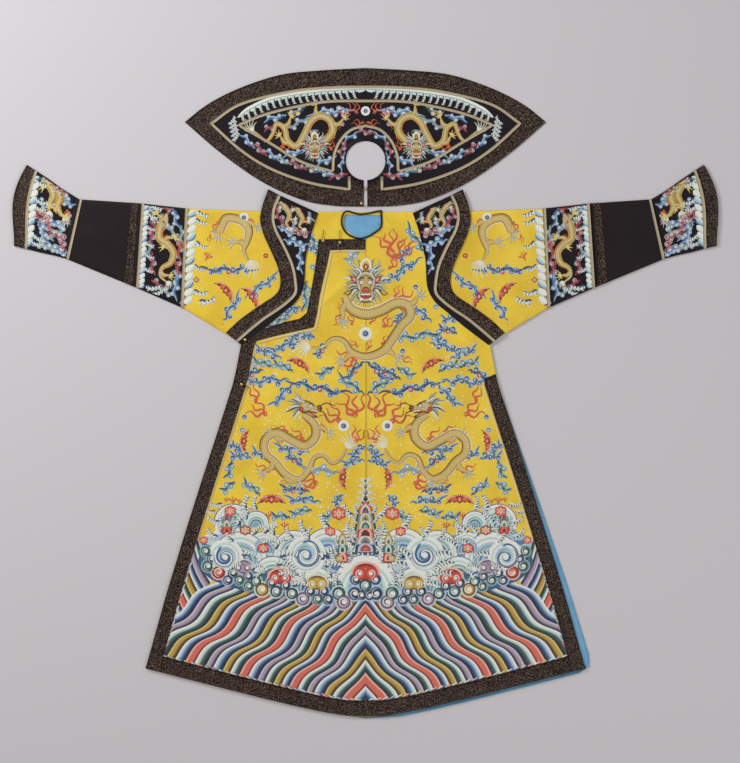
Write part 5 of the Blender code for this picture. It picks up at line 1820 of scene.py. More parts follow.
    def pearl(self, x: float, y: float, radius: float, ring: str = "white") -> None:
        """Flaming pearl: a broad pale ring round a dark eye with a small light swirl in it."""
        self.needle.disc(x, y, radius, inks(f"{ring} {ring} cream pale_blue mid_blue plum"), 0.4, 0.35, 20)
        self.needle.curl(x, y, radius * 0.42, inks("mid_blue navy plum"), inks("pale_lilac"), 0.6, 1.0, 0.78,
                         0.9)


    def clouds(self, table: Array, growth: float = 1.0) -> None:
        """Work a table of clouds.

        Args:
            table: Rows of x, y, turn in degrees, length, scroll heads, look and head's radius.
            growth: Factor by which the heads grow.
        """
        for x, y, turn, length, heads, look, head in table:
            self.cloud(Spot(x, y, 1.0, math.radians(turn)), length, int(heads), int(look), head * growth)

    def bats(self, table: Array, both: bool = False) -> None:
        """Work a table of bats: x, y, turn in degrees and span, on both halves where that is asked for."""
        for x, y, turn, span in table:
            spot = Spot(x, y, 1.0, math.radians(turn))
            self.bat(spot, span)
            if both:
                self.bat(spot.other(), span)

    def flames(self, table: Array, both: bool = False) -> None:
        """Work a table of flames: x, y, turn in degrees, length and tongues, like the bats."""
        for x, y, turn, length, tongues in table:
            spot = Spot(x, y, 1.0, math.radians(turn))
            self.flame(spot, length, int(tongues))
            if both:
                self.flame(spot.other(), length, int(tongues))


@dataclass(frozen=True)
class Hide:
    """Colours of a dragon: the scaled body's bands, its outline, its back fin and its belly line."""

    body: str = "tan sand sand sand tan"
    outline: str = "umber"
    fin: str = "white cream"
    belly: str = "umber"
    claws: str = "cream grey"
    mane: str = "grey teal cream deep_green"
    fin_share: float = 0.18
    belly_share: float = 0.16


# Inks of the hide of the gold dragons on the dark satin, in the order of a hide's fields
GOLD_HIDE = ("gold pale_gold cream pale_gold gold", "umber", "pale_gold orange", "orange", "pale_gold",
             "grey blue cream teal")


class Dragon:
    """Five-clawed dragon: a scaled body along a spine, fin, legs, tail rays and a head."""

    def __init__(self, motifs: Motifs, hide: Hide, width: float) -> None:
        """Keep the needle, the colours and the body's full width."""
        self.motifs = motifs
        self.needle = motifs.needle
        self.hide = hide
        self.width = width

    def body(self, spine: Array, legs: Array, rays: float = 1.0) -> None:
        """Work the body from the neck to the tail's rays.

        Args:
            spine: Points from the neck to the tail.
            legs: Rows of share along the spine, turn in degrees, length and side (+1 left of the spine).
            rays: Length of the tail's rays over the body's width.
        """
        line = smooth_line(spine, 90)
        side = normals_of(line)
        width, hide = self.width, self.hide
        t = np.linspace(0.0, 1.0, 90)
        reach = width * np.interp(t, (0.0, 0.12, 0.6, 1.0), (0.75, 1.0, 0.85, 0.22)) / 2.0
        for leg in legs:
            self.leg(line, side, *leg)
        self.tail(line, rays)
        for offset, share, look, lift, teeth in ((1.0, hide.fin_share, hide.fin, 0.3, 60.0),
                                                 (-1.0, hide.belly_share, hide.belly, 0.3, 46.0)):
            edge = line + side * (reach * offset * 0.98)[:, None]
            self.needle.stroke(edge, width * share, inks(look), lift, 0.08, 120, (0.05, 0.4), False,
                               (teeth, 0.55))
        bands, tint = banded(inks(hide.body), 0.5)
        across_it = reach[:, None] * (1.0 - 2.0 * bands)[None, :]
        xy = line[:, None] + side[:, None] * across_it[..., None]
        rise = 0.36 + 0.5 * (1.0 - (2.0 * bands - 1.0) ** 2)[None, :] * (reach / reach.max())[:, None]
        uv = np.dstack((run_of(line)[:, None] + np.zeros_like(across_it), across_it))
        self.needle.lay(xy, rise, tint[None] + np.zeros((90, 1, 1)), uv, False, True)

    def leg(self, line: Array, side: Array, share: float, turn: float, length: float, way: float) -> None:
        """Leg bent at the knee, with a paw of five spread claws and a flame behind it."""
        place = int(share * (len(line) - 1))
        hip = line[place]
        angle = math.radians(turn)
        out = np.array((math.cos(angle), math.sin(angle)))
        bend = np.array((-out[1], out[0])) * way
        knee = hip + out * length * 0.45 + bend * length * 0.22
        paw = hip + out * length
        self.needle.stroke(np.array((hip, knee, paw)), self.width * 0.62, inks(self.hide.body), 0.3, 0.3, 14,
                           (0.05, 0.55), True)
        spot = Spot(*knee, 1.0, angle + 2.2 * way)
        self.motifs.flame(spot, length * 0.7, 2)
        for index in range(5):
            spread = angle + (index - 2.0) * 0.62
            reach = self.width * (0.95 if index != 4 else 0.6)
            tip = paw + reach * np.array((math.cos(spread), math.sin(spread)))
            middle = (paw + tip) / 2.0 + bend * self.width * 0.14
            self.needle.stroke(np.array((paw, middle, tip)), self.width * 0.17, inks(self.hide.claws), 0.5,
                               0.12, 6,
                               (0.0, 0.7))
            self.needle.disc(*((paw * 2.0 + tip) / 3.0), self.width * 0.12, inks(self.hide.claws), 0.52, 0.1,
                             7)

    def tail(self, line: Array, rays: float) -> None:
        """Tail's rays: white strokes that fan and curl from its end."""
        end = line[-1]
        heading = line[-1] - line[-4]
        heading = math.atan2(heading[1], heading[0])
        for index in range(7):
            spread = heading + (index - 3.0) * 0.3
            reach = self.width * rays * (2.1 - 0.25 * abs(index - 3.0))
            middle = end + 0.5 * reach * np.array((math.cos(spread), math.sin(spread)))
            tip = end + reach * np.array((math.cos(spread + 0.3), math.sin(spread + 0.3)))
            self.needle.stroke(np.array((end, middle, tip)), self.width * 0.16, inks("cream white"), 0.34,
                               0.1, 9,
                               (0.0, 0.8))

    def profile_head(self, spot: Spot) -> None:
        """Head from the side, facing along its own x: jaws open, horns, mane, beard and long whiskers."""
        n = self.needle
        k = spot.size
        for index, angle in enumerate(np.linspace(1.9, 4.3, 11)):
            reach = 6.4 + 1.6 * math.sin(index * 2.1)
            tip = np.array((-2.6 + reach * math.cos(angle), 0.2 + reach * math.sin(angle)))
            root = np.array((-2.2, 0.2))
            bend = (root + tip) / 2.0 + (0.0, 0.9)
            look = self.hide.mane.split()[index % 4]
            n.stroke(spot.at(np.array((root, bend, tip))), 1.5 * k, inks(f"{look} {look} cream"), 0.5, 0.1,
                     8, (0.0, 0.8))
        upper = np.array(((-3.8, -1.6), (-1.0, -1.9), (1.2, -1.2), (3.0, -0.4), (5.6, -0.6), (6.2, 0.6),
                          (5.2, 1.5),
                          (3.2, 1.2), (1.8, 2.2), (-0.2, 3.1), (-2.6, 2.9), (-4.2, 1.2)))
        lower = np.array(((-2.6, -2.4), (0.4, -3.0), (3.4, -4.0), (5.2, -3.9), (4.6, -3.0), (2.2, -2.0),
                          (0.0, -1.4)))
        n.shape(spot.at(upper * 1.12), spot.at(np.array(((0.0, 0.6),)))[0], inks(self.hide.outline), 0.56,
                0.02)
        n.shape(spot.at(upper), spot.at(np.array(((0.0, 0.6),)))[0], inks("gold pale_gold cream pale_gold"),
                0.6, 0.35,
                True)
        n.shape(spot.at(lower), spot.at(np.array(((1.6, -2.7),)))[0], inks("umber gold pale_gold"), 0.62,
                0.25, True)
        n.stroke(spot.at(np.array(((0.0, -1.8), (2.6, -1.4), (5.0, -1.7)))), 1.2 * k, inks("dark_red red"),
                 0.66, 0.1, 8)
        n.stroke(spot.at(np.array(((1.4, -0.9), (3.4, -0.8), (5.4, -1.1)))), 0.5 * k, inks("white"), 0.84,
                 0.05, 8)
        n.disc(*spot.at(np.array(((5.5, 1.1),)))[0], 1.05 * k, inks("dark_red umber coral"), 0.9, 0.2, 10)
        n.disc(*spot.at(np.array(((1.5, 1.1),)))[0], 0.95 * k, inks("umber white white night"), 0.95, 0.15,
               12)
        n.stroke(spot.at(np.array(((0.2, 2.4), (1.4, 2.5), (2.9, 1.9)))), 0.7 * k, inks("teal deep_green"),
                 1.0, 0.1, 7)
        for lift, end in ((0.0, (-7.4, 4.4)), (0.04, (-6.4, 6.2))):
            n.stroke(spot.at(np.array(((-1.6, 2.6), (-4.0, 3.4), end))), 0.9 * k, inks("cream white grey"),
                     0.9 + lift,
                     0.15, 9, (0.0, 0.7))
        n.disc(*spot.at(np.array(((-2.7, -0.8),)))[0], 1.1 * k, inks("dark_red red orange"), 0.9, 0.15, 10)
        for line in (((5.6, 1.6), (8.4, 3.4), (11.4, 2.6), (13.0, 3.4)),
                     ((4.8, -0.6), (8.0, -1.2), (9.4, -4.0), (11.2, -4.8))):
            n.stroke(spot.at(np.array(line)), 0.45 * k, inks("umber"), 0.62, 0.1, 14, (0.0, 0.4))
        for end in ((0.2, -5.6), (2.0, -6.2), (3.8, -5.8)):
            n.stroke(spot.at(np.array(((1.8, -3.4), ((1.8 + end[0]) / 2.0 + 0.4, -4.6), end))), 0.6 * k,
                     inks("teal cream"), 0.5, 0.1, 7, (0.0, 0.7))

    def front_head(self, spot: Spot) -> None:
        """Head from the front: each half the other's mirror, with a crest jewel, mane, horns and bared
        teeth."""
        n = self.needle
        k = spot.size
        for hand in (-1.0, 1.0):
            half = Spot(spot.x, spot.y, k, 0.0, hand)
            for index, angle in enumerate(np.linspace(-1.1, 1.25, 12)):
                reach = 9.4 + 1.4 * math.sin(index * 2.4)
                tip = np.array((reach * math.cos(angle), 0.6 + reach * math.sin(angle)))
                root = np.array((3.0 * math.cos(angle), 0.6 + 3.2 * math.sin(angle)))
                bend = (root + tip) / 2.0 + (0.0, 0.8)
                look = self.hide.mane.split()[index % 4]
                n.stroke(half.at(np.array((root, bend, tip))), 1.35 * k, inks(f"{look} cream {look}"), 0.8,
                         0.1, 8,
                         (0.0, 0.8))
            n.stroke(half.at(np.array(((1.6, 3.6), (3.0, 6.4), (5.4, 8.6), (5.0, 10.6)))), 1.3 * k,
                     inks("grey white grey"), 1.1, 0.2, 12, (0.0, 0.7))
            n.stroke(half.at(np.array(((3.2, 5.8), (5.4, 6.6), (6.6, 8.2)))), 0.8 * k, inks("grey white"),
                     1.15, 0.15, 8,
                     (0.0, 0.7))
            n.shape(half.at(np.array(((3.2, 1.6), (4.6, 3.4), (6.6, 3.6), (5.8, 1.6), (4.2, 0.4)))),
                    half.at(np.array(((4.6, 2.0),)))[0], inks("dark_red coral pink"), 1.2, 0.15)
        face = np.array(((0.0, 5.4), (2.6, 4.6), (3.9, 2.6), (3.6, 0.2), (2.9, -2.6), (3.3, -5.0),
                         (1.8, -6.6),
                         (0.0, -6.9)))
        face = np.vstack((face, face[-2:0:-1] * (-1.0, 1.0)))
        n.shape(spot.at(face * 1.08), spot.at(np.array(((0.0, 0.0),)))[0], inks(self.hide.outline), 1.2, 0.02)
        n.shape(spot.at(face), spot.at(np.array(((0.0, 1.0),)))[0], inks("cream gold pale_gold pale_gold"),
                1.24, 0.45,
                True)
        for hand in (-1.0, 1.0):
            half = Spot(spot.x, spot.y, k, 0.0, hand)
            n.disc(*half.at(np.array(((1.7, 0.9),)))[0], 1.05 * k, inks("umber white white night"), 1.7,
                   0.15, 12)
            n.stroke(half.at(np.array(((0.5, 2.3), (1.8, 2.8), (3.3, 1.7)))), 0.8 * k,
                     inks("teal deep_green"), 1.75, 0.1,
                     8)
            n.stroke(half.at(np.array(((2.4, -2.6), (4.6, -1.4), (7.2, -4.2), (9.0, -3.4)))), 0.5 * k,
                     inks("umber"),
                     1.3, 0.1, 14, (0.0, 0.4))
            n.disc(*half.at(np.array(((0.8, -2.3),)))[0], 0.8 * k, inks("dark_red coral"), 1.78, 0.12, 10)
            n.disc(*half.at(np.array(((1.9, -6.0),)))[0], 0.75 * k, inks("cream white"), 1.78, 0.12, 9)
            for end in ((1.2, -9.2), (3.0, -8.6), (4.8, -7.6)):
                root = np.array((end[0] * 0.5, -6.0))
                n.stroke(half.at(np.array((root, (root + end) / 2.0 + (0.3, 0.0), end))), 0.7 * k,
                         inks("grey cream"), 0.85, 0.1, 7, (0.0, 0.8))
        n.disc(*spot.at(np.array(((0.0, -1.8),)))[0], 1.35 * k, inks("dark_red red coral"), 1.74, 0.2, 12,
               0.75)
        n.disc(*spot.at(np.array(((0.0, -4.6),)))[0], 2.3 * k, inks("dark_red red dark_red"), 1.72, 0.08, 14,
               0.5)
        for x in (-1.5, -0.75, 0.0, 0.75, 1.5):
            n.disc(*spot.at(np.array(((x, -4.0),)))[0], 0.4 * k, inks("white"), 1.84, 0.08, 7)
        crest = np.array(((-2.4, 6.2), (-2.3, 8.8), (-0.8, 10.6), (0.0, 10.9), (0.8, 10.6), (2.3, 8.8),
                          (2.4, 6.2)))
        n.shape(spot.at(crest), spot.at(np.array(((0.0, 7.4),)))[0], inks("white pale_gold gold orange"),
                1.0, 0.2)
        n.curl(*spot.at(np.array(((0.0, 7.2),)))[0], 1.2 * k, inks("dark_red orange"), inks("pale_gold"),
               0.0, 1.0, 1.2)


@dataclass
class Sky:
    """Upper ground of the robe: one dragon seen from the front, two that face each other, clouds, bats and
    flames."""

    needle: Needle
    clouds: Array = field(default_factory=lambda: ROBE_PHOTO.placed("xynrnn", [
        # x, y, turn in degrees, length, scroll heads, look
        (265, 381, 5, 28, 5, 0), (318, 388, -12, 40, 6, 3), (282, 396, 40, 20, 4, 0),
        (350, 384, -40, 20, 4, 1), (245, 417, 0, 6, 1, 0), (265, 440, 10, 8, 1, 1),
        (291, 449, -12, 22, 4, 0), (294, 459, -50, 12, 3, 3), (262, 455, -38, 16, 3, 0),
        (318, 470, -6, 26, 4, 2), (251, 487, -50, 14, 3, 1), (294, 489, -15, 18, 4, 3),
        (302, 500, -8, 22, 3, 0), (240, 456, -20, 14, 3, 0), (236, 447, -60, 9, 2, 0),
        (353, 372, 35, 18, 3, 3), (262, 363, -30, 14, 3, 1), (250, 375, 15, 16, 3, 3),
        (283, 347, 12, 22, 4, 0), (267, 352, -30, 18, 4, 0), (282, 366, -35, 14, 3, 1),
        (293, 340, 30, 12, 2, 0), (230, 470, 60, 12, 2, 1), (243, 430, 40, 6, 1, 1),
        (300, 512, 0, 14, 3, 1), (280, 516, -20, 12, 2, 1), (330, 515, 10, 10, 2, 1),
        (338, 500, 30, 8, 2, 0), (352, 462, 0, 14, 3, 0), (357, 452, 20, 12, 3, 0),
        (228, 487, 20, 10, 2, 1), (325, 372, 15, 12, 2, 1),
    ]))
    left_clouds: Array = field(default_factory=lambda: ROBE_PHOTO.placed("xynrnn", [
        # x, y, turn in degrees, length, scroll heads, look
        (311, 238, -70, 18, 3, 1), (313, 267, 0, 6, 1, 1), (306, 297, 80, 18, 4, 1),
        (291, 311, 10, 12, 2, 0), (278, 323, 22, 16, 3, 1), (352, 257, 20, 10, 2, 2),
        (308, 336, -30, 8, 2, 0), (321, 351, 30, 10, 3, 3), (316, 250, -60, 10, 2, 0),
    ]))
    right_clouds: Array = field(default_factory=lambda: ROBE_PHOTO.placed("xynrnn", [
        # x, y, turn in degrees, length, scroll heads, look
        (415, 238, -60, 22, 4, 1), (401, 272, 35, 30, 6, 0), (416, 287, 10, 6, 1, 0),
        (418, 311, -42, 20, 4, 0), (436, 307, 0, 8, 1, 1), (450, 319, -15, 12, 2, 0),
        (420, 336, 8, 40, 6, 1), (399, 319, 35, 9, 2, 0), (403, 351, 0, 6, 1, 0),
        (447, 330, -30, 12, 3, 3), (404, 255, 30, 12, 2, 0), (387, 372, -35, 18, 4, 3),
    ]))
    bats: Array = field(default_factory=lambda: ROBE_PHOTO.placed("xynr", [
        # x, y, turn in degrees, span
        (300, 364, -30, 20), (245, 441, 82, 18), (344, 477, 85, 19), (272, 500, 0, 22),
    ]))
    flames: Array = field(default_factory=lambda: ROBE_PHOTO.placed("xynrn", [
        # x, y, turn in degrees, length, tongues
        (262, 412, 150, 24, 3), (256, 398, 110, 22, 2), (336, 418, 140, 26, 3), (353, 410, 100, 30, 4),
        (357, 438, 70, 20, 3), (300, 438, 160, 20, 3), (322, 430, 175, 18, 2), (266, 470, 165, 18, 2),
        (312, 483, 170, 24, 4), (285, 430, 170, 16, 2),
    ]))
    single_flames: Array = field(default_factory=lambda: ROBE_PHOTO.placed("xynrn", [
        # x, y, turn in degrees, length, tongues
        (352, 322, 110, 14, 2), (372, 321, 70, 14, 2), (386, 324, 50, 18, 3), (384, 342, 60, 14, 2),
        (356, 345, 150, 12, 2), (369, 347, 80, 12, 2), (341, 316, 250, 18, 2), (352, 361, 195, 26, 4),
        (395, 252, 75, 34, 4), (388, 246, 110, 24, 3), (404, 253, 60, 22, 3), (392, 266, 60, 18, 2),
        (400, 302, 20, 26, 4), (396, 294, 80, 14, 2), (404, 358, -20, 16, 2),
    ]))
    side_spine: Array = field(default_factory=lambda: ROBE_PHOTO.placed("xy", [
        # x, y
        (304, 414), (315, 424), (316, 437), (305, 446), (291, 440), (277, 433), (266, 440), (266, 453),
        (276, 462), (286, 474), (299, 479), (309, 470), (314, 458), (324, 455), (333, 463), (342, 457),
        (347, 448),
    ]))
    front_spine: Array = field(default_factory=lambda: ROBE_PHOTO.placed("xy", [
        # x, y
        (345, 296), (352, 309), (367, 314), (382, 310), (396, 303), (408, 305), (411, 316), (402, 326),
        (394, 338), (384, 351), (367, 357), (352, 352), (344, 341), (333, 339), (323, 347), (311, 348),
    ]))

    def build(self) -> None:
        """Work every motif, the dragons last."""
        motifs = Motifs(self.needle)
        for table, hands in ((self.clouds, (-1.0, 1.0)), (self.left_clouds, (-1.0,)),
                             (self.right_clouds, (-1.0,))):
            for x, y, turn, length, heads, look in table:
                spot = Spot(x, y, 1.0, math.radians(turn))
                for hand in hands:
                    motifs.cloud(spot if hand < 0.0 else spot.other(), length, int(heads), int(look))
        motifs.bats(self.bats, True)
        motifs.flames(self.flames, True)
        motifs.flames(self.single_flames)
        self.build_dragons(motifs)

    def build_dragons(self, motifs: Motifs) -> None:
        """Work the three dragons and their pearls."""
        legs = np.array(((0.10, -20.0, 34.0, 1.0), (0.30, 165.0, 42.0, 1.0), (0.52, -130.0, 42.0, 1.0),
                         (0.60, -35.0, 46.0, -1.0)))
        dragon = Dragon(motifs, Hide(), 25.0)
        dragon.body(self.side_spine, legs)
        dragon.profile_head(Spot(-157.0, -42.0, 5.9, -0.12))
        motifs.pearl(-59.0, -90.0, 15.0)
        motifs.pearl(59.0, -90.0, 15.0)
        legs[:, 1] = 180.0 - legs[:, 1]
        legs[:, 3] *= -1.0
        dragon.body(self.side_spine * (-1.0, 1.0), legs)
        dragon.profile_head(Spot(157.0, -42.0, 5.9, 0.12, -1.0))
        front = Dragon(motifs, Hide(), 28.0)
        legs = np.array(((0.04, -100.0, 46.0, -1.0), (0.34, 35.0, 40.0, -1.0), (0.62, -20.0, 42.0, 1.0),
                         (0.74, -160.0, 44.0, -1.0)))
        front.body(self.front_spine, legs)
        front.front_head(Spot(1.0, 291.0, 6.6))
        motifs.pearl(0.0, 159.0, 17.5)


def rope(needle: Needle, line: Array, width: float, lift: float = 0.24) -> None:
    """Twisted border: slanted strands of white and blue laid one after another along a line."""
    run = run_of(line)[-1]
    count = max(3, int(run / width * 1.15))
    points = resampled(line, count + 1)
    side = normals_of(points)
    ahead = np.column_stack((side[:, 1], -side[:, 0]))
    for index in range(count):
        middle = (points[index] + points[index + 1]) / 2.0
        reach = (side[index] * 0.5 + ahead[index] * 0.42) * width
        bend = ahead[index] * 0.12 * width
        strand = np.array((middle - reach, middle + bend, middle + reach))
        look = "white white white pale_aqua" if index % 3 else "white pale_aqua pale_blue blue"
        needle.stroke(strand, width * 0.78, inks(look), lift, 0.3, 8, (0.3, 0.3))


@dataclass
class SleeveWork:
    """Embroidery of one sleeve: the shoulder's dragon, the dragon band and the cuff."""

    side: Side
    margin: float = 4.0
    heads_growth: float = 1.25
    clouds: Array = field(default_factory=lambda: SIDE_PHOTO.placed("xynrnnn", [
        # x, y, turn in degrees, length, scroll heads, look, head's radius
        (229, 270, 0, 36, 7, 3, 6.4), (264, 285, -35, 26, 5, 0, 6.4), (233, 307, -60, 22, 4, 0, 6.6),
        (215, 232, 0, 8, 1, 1, 5),
    ]))
    bats: Array = field(default_factory=lambda: SIDE_PHOTO.placed("xynr", [
        # x, y, turn in degrees, span
        (226, 291, 50, 20), (252, 297, 55, 20),
    ]))
    spine: Array = field(default_factory=lambda: SIDE_PHOTO.placed("xy", [
        # x, y
        (221, 232), (227, 219), (241, 221), (249, 230), (247, 242), (244, 251), (249, 261),
    ]))
    ropes: Array = field(default_factory=lambda: SIDE_PHOTO.placed("xyxyr", [
        # x, y, to x, to y, width
        (146.5, 205, 141.5, 289, 6), (193, 209, 188, 304, 8.5), (36, 176, 29, 246, 8),
    ]))
    foams: Array = field(default_factory=lambda: SIDE_PHOTO.placed("xynr", [
        # x, y, turn in degrees, size
        (200, 213, 60, 9), (200, 222, 50, 8), (200, 245, 60, 8), (198, 268, 60, 7), (199, 293, 40, 9),
        (206, 302, 20, 10), (155, 207, 60, 8), (152, 216, 60, 7), (150, 228, 60, 6), (152, 288, 30, 9),
        (158, 293, 10, 8), (40, 183, 60, 8), (41, 202, 50, 8), (40, 209, 50, 7), (38, 238, 60, 7),
        (37, 244, 40, 7), (149, 244, 60, 6), (149, 256, 60, 6), (148, 270, 60, 6),
    ]))
    band_clouds: Array = field(default_factory=lambda: SIDE_PHOTO.placed("xynrnnn", [
        # x, y, turn in degrees, length, scroll heads, look, head's radius
        (152, 238, 80, 14, 3, 4, 4.4), (153, 264, 80, 14, 3, 4, 4.4), (180, 250, 90, 18, 3, 4, 4.2),
        (178, 268, 60, 10, 2, 4, 4.4), (176, 218, 70, 14, 3, 5, 4.2), (176, 288, 90, 16, 3, 5, 4.4),
        (166, 291, 20, 12, 3, 2, 4.2), (153, 214, 60, 12, 3, 2, 4), (173, 232, 30, 10, 2, 2, 4),
        (178, 280, 80, 12, 2, 5, 4), (166, 208, 0, 12, 2, 4, 4), (182, 236, 80, 12, 2, 2, 4),
        (158, 284, 20, 8, 2, 4, 4), (184, 300, 70, 8, 2, 4, 3.6), (150, 250, 80, 10, 2, 2, 3.6),
        (155, 226, 30, 8, 2, 4, 3.6),
    ]))
    band_spine: Array = field(default_factory=lambda: SIDE_PHOTO.placed("xy", [
        # x, y
        (165, 216), (161, 227), (160, 238), (168, 244), (174, 253), (171, 263), (163, 268), (161, 276),
        (167, 282),
    ]))
    cuff_clouds: Array = field(default_factory=lambda: SIDE_PHOTO.placed("xynrnnn", [
        # x, y, turn in degrees, length, scroll heads, look, head's radius
        (44, 216, 60, 10, 2, 4, 4.6), (49, 223, 60, 12, 3, 4, 5), (57, 224, 0, 14, 3, 5, 5),
        (62, 230, 70, 10, 2, 2, 4.6), (44, 234, 60, 16, 3, 5, 5), (57, 235, 0, 10, 2, 4, 5),
        (63, 243, 70, 12, 3, 4, 5), (48, 247, 0, 14, 3, 2, 5), (60, 251, 10, 12, 3, 5, 5),
        (43, 204, 30, 10, 2, 5, 4.2), (66, 200, 50, 10, 2, 2, 4.2), (70, 203, 20, 8, 2, 5, 4),
        (52, 235, 80, 8, 2, 2, 4.4), (43, 225, 50, 8, 2, 2, 4.4), (68, 219, 70, 8, 2, 4, 4),
        (38, 214, 60, 8, 2, 4, 3.8), (62, 190, 30, 10, 2, 4, 3.8), (41, 243, 50, 8, 2, 5, 4.2),
    ]))
    cuff_spine: Array = field(default_factory=lambda: SIDE_PHOTO.placed("xy", [
        # x, y
        (47, 181), (51, 187), (54, 195), (51, 203), (50, 211),
    ]))
    cuff_other: Array = field(default_factory=lambda: SIDE_PHOTO.placed("xy", [
        # x, y
        (58, 191), (61, 198), (58, 206), (61, 213), (64, 217),
    ]))

    def edges(self, x: Array) -> tuple[Array, Array]:
        """Height of the sleeve's lower seam and of its upper fold on the plan."""
        out = np.abs(x)
        low = np.interp(out, (351.0, 490.0, 620.0, 809.0, 948.0), (142.0, 227.0, 284.0, 362.0, 396.0))
        top = np.interp(out, (250.0, 478.0, 605.0, 772.0, 913.0), (487.0, 496.0, 510.0, 521.0, 614.0))
        return low, top

    def limits(self, x: Array) -> tuple[Array, Array]:
        """Lowest and highest y that the embroidery reaches."""
        low, top = self.edges(x)
        return low + self.margin, top - self.margin

    def surface(self, x: Array, y: Array) -> Array:
        """Height of the sleeve's upper side, which bends down at the top fold and at the seam below."""
        low, top = self.edges(x)
        distance = np.minimum(top - y, y - low) * SQUARE_TO_EDGE
        return droop(np.maximum(distance, 0.0), FRONT_Z + fine_relief(x, y), CLOTH + GAP) + CLOTH

    def build(self, finishes: dict[str, Material]) -> None:
        """Work the sleeve."""
        needle = Needle(self.surface, self.side.value, self.limits)
        motifs = Motifs(needle)
        surf = Surf(needle)
        for x, y, to_x, to_y, width in self.ropes:
            rope(needle, np.array(((x, y), ((x + to_x) / 2.0, (y + to_y) / 2.0 + 2.0), (to_x, to_y))), width)
        for x, y, turn, size in self.foams:
            surf.foam(Spot(x, y, size / 7.0, math.radians(90.0 + turn)), 4)
        motifs.clouds(self.clouds)
        motifs.bats(self.bats)
        legs = np.array(((0.12, -70.0, 34.0, 1.0), (0.45, -160.0, 34.0, -1.0), (0.78, 15.0, 30.0, 1.0)))
        Dragon(motifs, Hide(), 24.0).body(self.spine, legs, 1.2)
        motifs.flame(Spot(400.0, 452.0, 1.0, -1.4), 40.0, 3)
        motifs.flame(Spot(420.0, 420.0, 1.0, -1.2), 26.0, 2)
        motifs.flame(Spot(352.0, 470.0, 1.0, 3.0), 22.0, 3)
        motifs.flame(Spot(306.0, 462.0, 1.0, 0.1), 22.0, 3)
        motifs.flame(Spot(268.0, 452.0, 1.0, 1.4), 24.0, 3)
        motifs.pearl(328.0, 472.0, 13.0)
        draw = np.random.default_rng(3)
        for x, y in draw.normal((370.0, 360.0), (55.0, 55.0), (70, 2)):
            if abs(y - 350.0) < 85.0:
                needle.disc(x, y, 1.2 + draw.random(), inks("cream"), 0.12, 0.1, 6)
        surf.coral(Spot(426.0, 366.0, 3.0, 0.5))
        needle.disc(269.0, 369.0, 6.5, inks("dark_red red orange cream"), 0.3, 0.2, 12)
        needle.disc(456.0, 304.0, 8.5, inks("dark_red coral cream grey"), 0.3, 0.2, 4)
        dark = Motifs(needle, False)
        for table in (self.band_clouds, self.cuff_clouds):
            dark.clouds(table, self.heads_growth)
        bright = Hide(*GOLD_HIDE)
        legs = np.array(((0.10, 60.0, 26.0, 1.0), (0.35, 165.0, 30.0, -1.0), (0.55, 30.0, 28.0, 1.0),
                         (0.85, -160.0, 26.0, 1.0)))
        Dragon(dark, bright, 19.0).body(self.band_spine, legs, 0.6)
        Dragon(dark, bright, 19.0).profile_head(Spot(540.0, 468.0, 3.1, 1.9))
        for spine, place in ((self.cuff_spine, 0.3), (self.cuff_other, 0.6)):
            legs = np.array(((place, 10.0, 20.0, 1.0), (0.8, 215.0, 16.0, 1.0)))
            Dragon(dark, bright, 19.0).body(spine, legs, 0.8)
            Dragon(dark, bright, 19.0).profile_head(Spot(spine[0, 0] - 3.0, spine[0, 1] - 2.0, 2.2, -2.4))
        dark.flame(Spot(804.0, 487.0, 1.0, -1.6), 26.0, 3)
        dark.flame(Spot(500.0, 395.0, 1.0, 1.6), 30.0, 3)
        needle.finish(f"sleeve_{self.side.word}", finishes, "dark_satin")


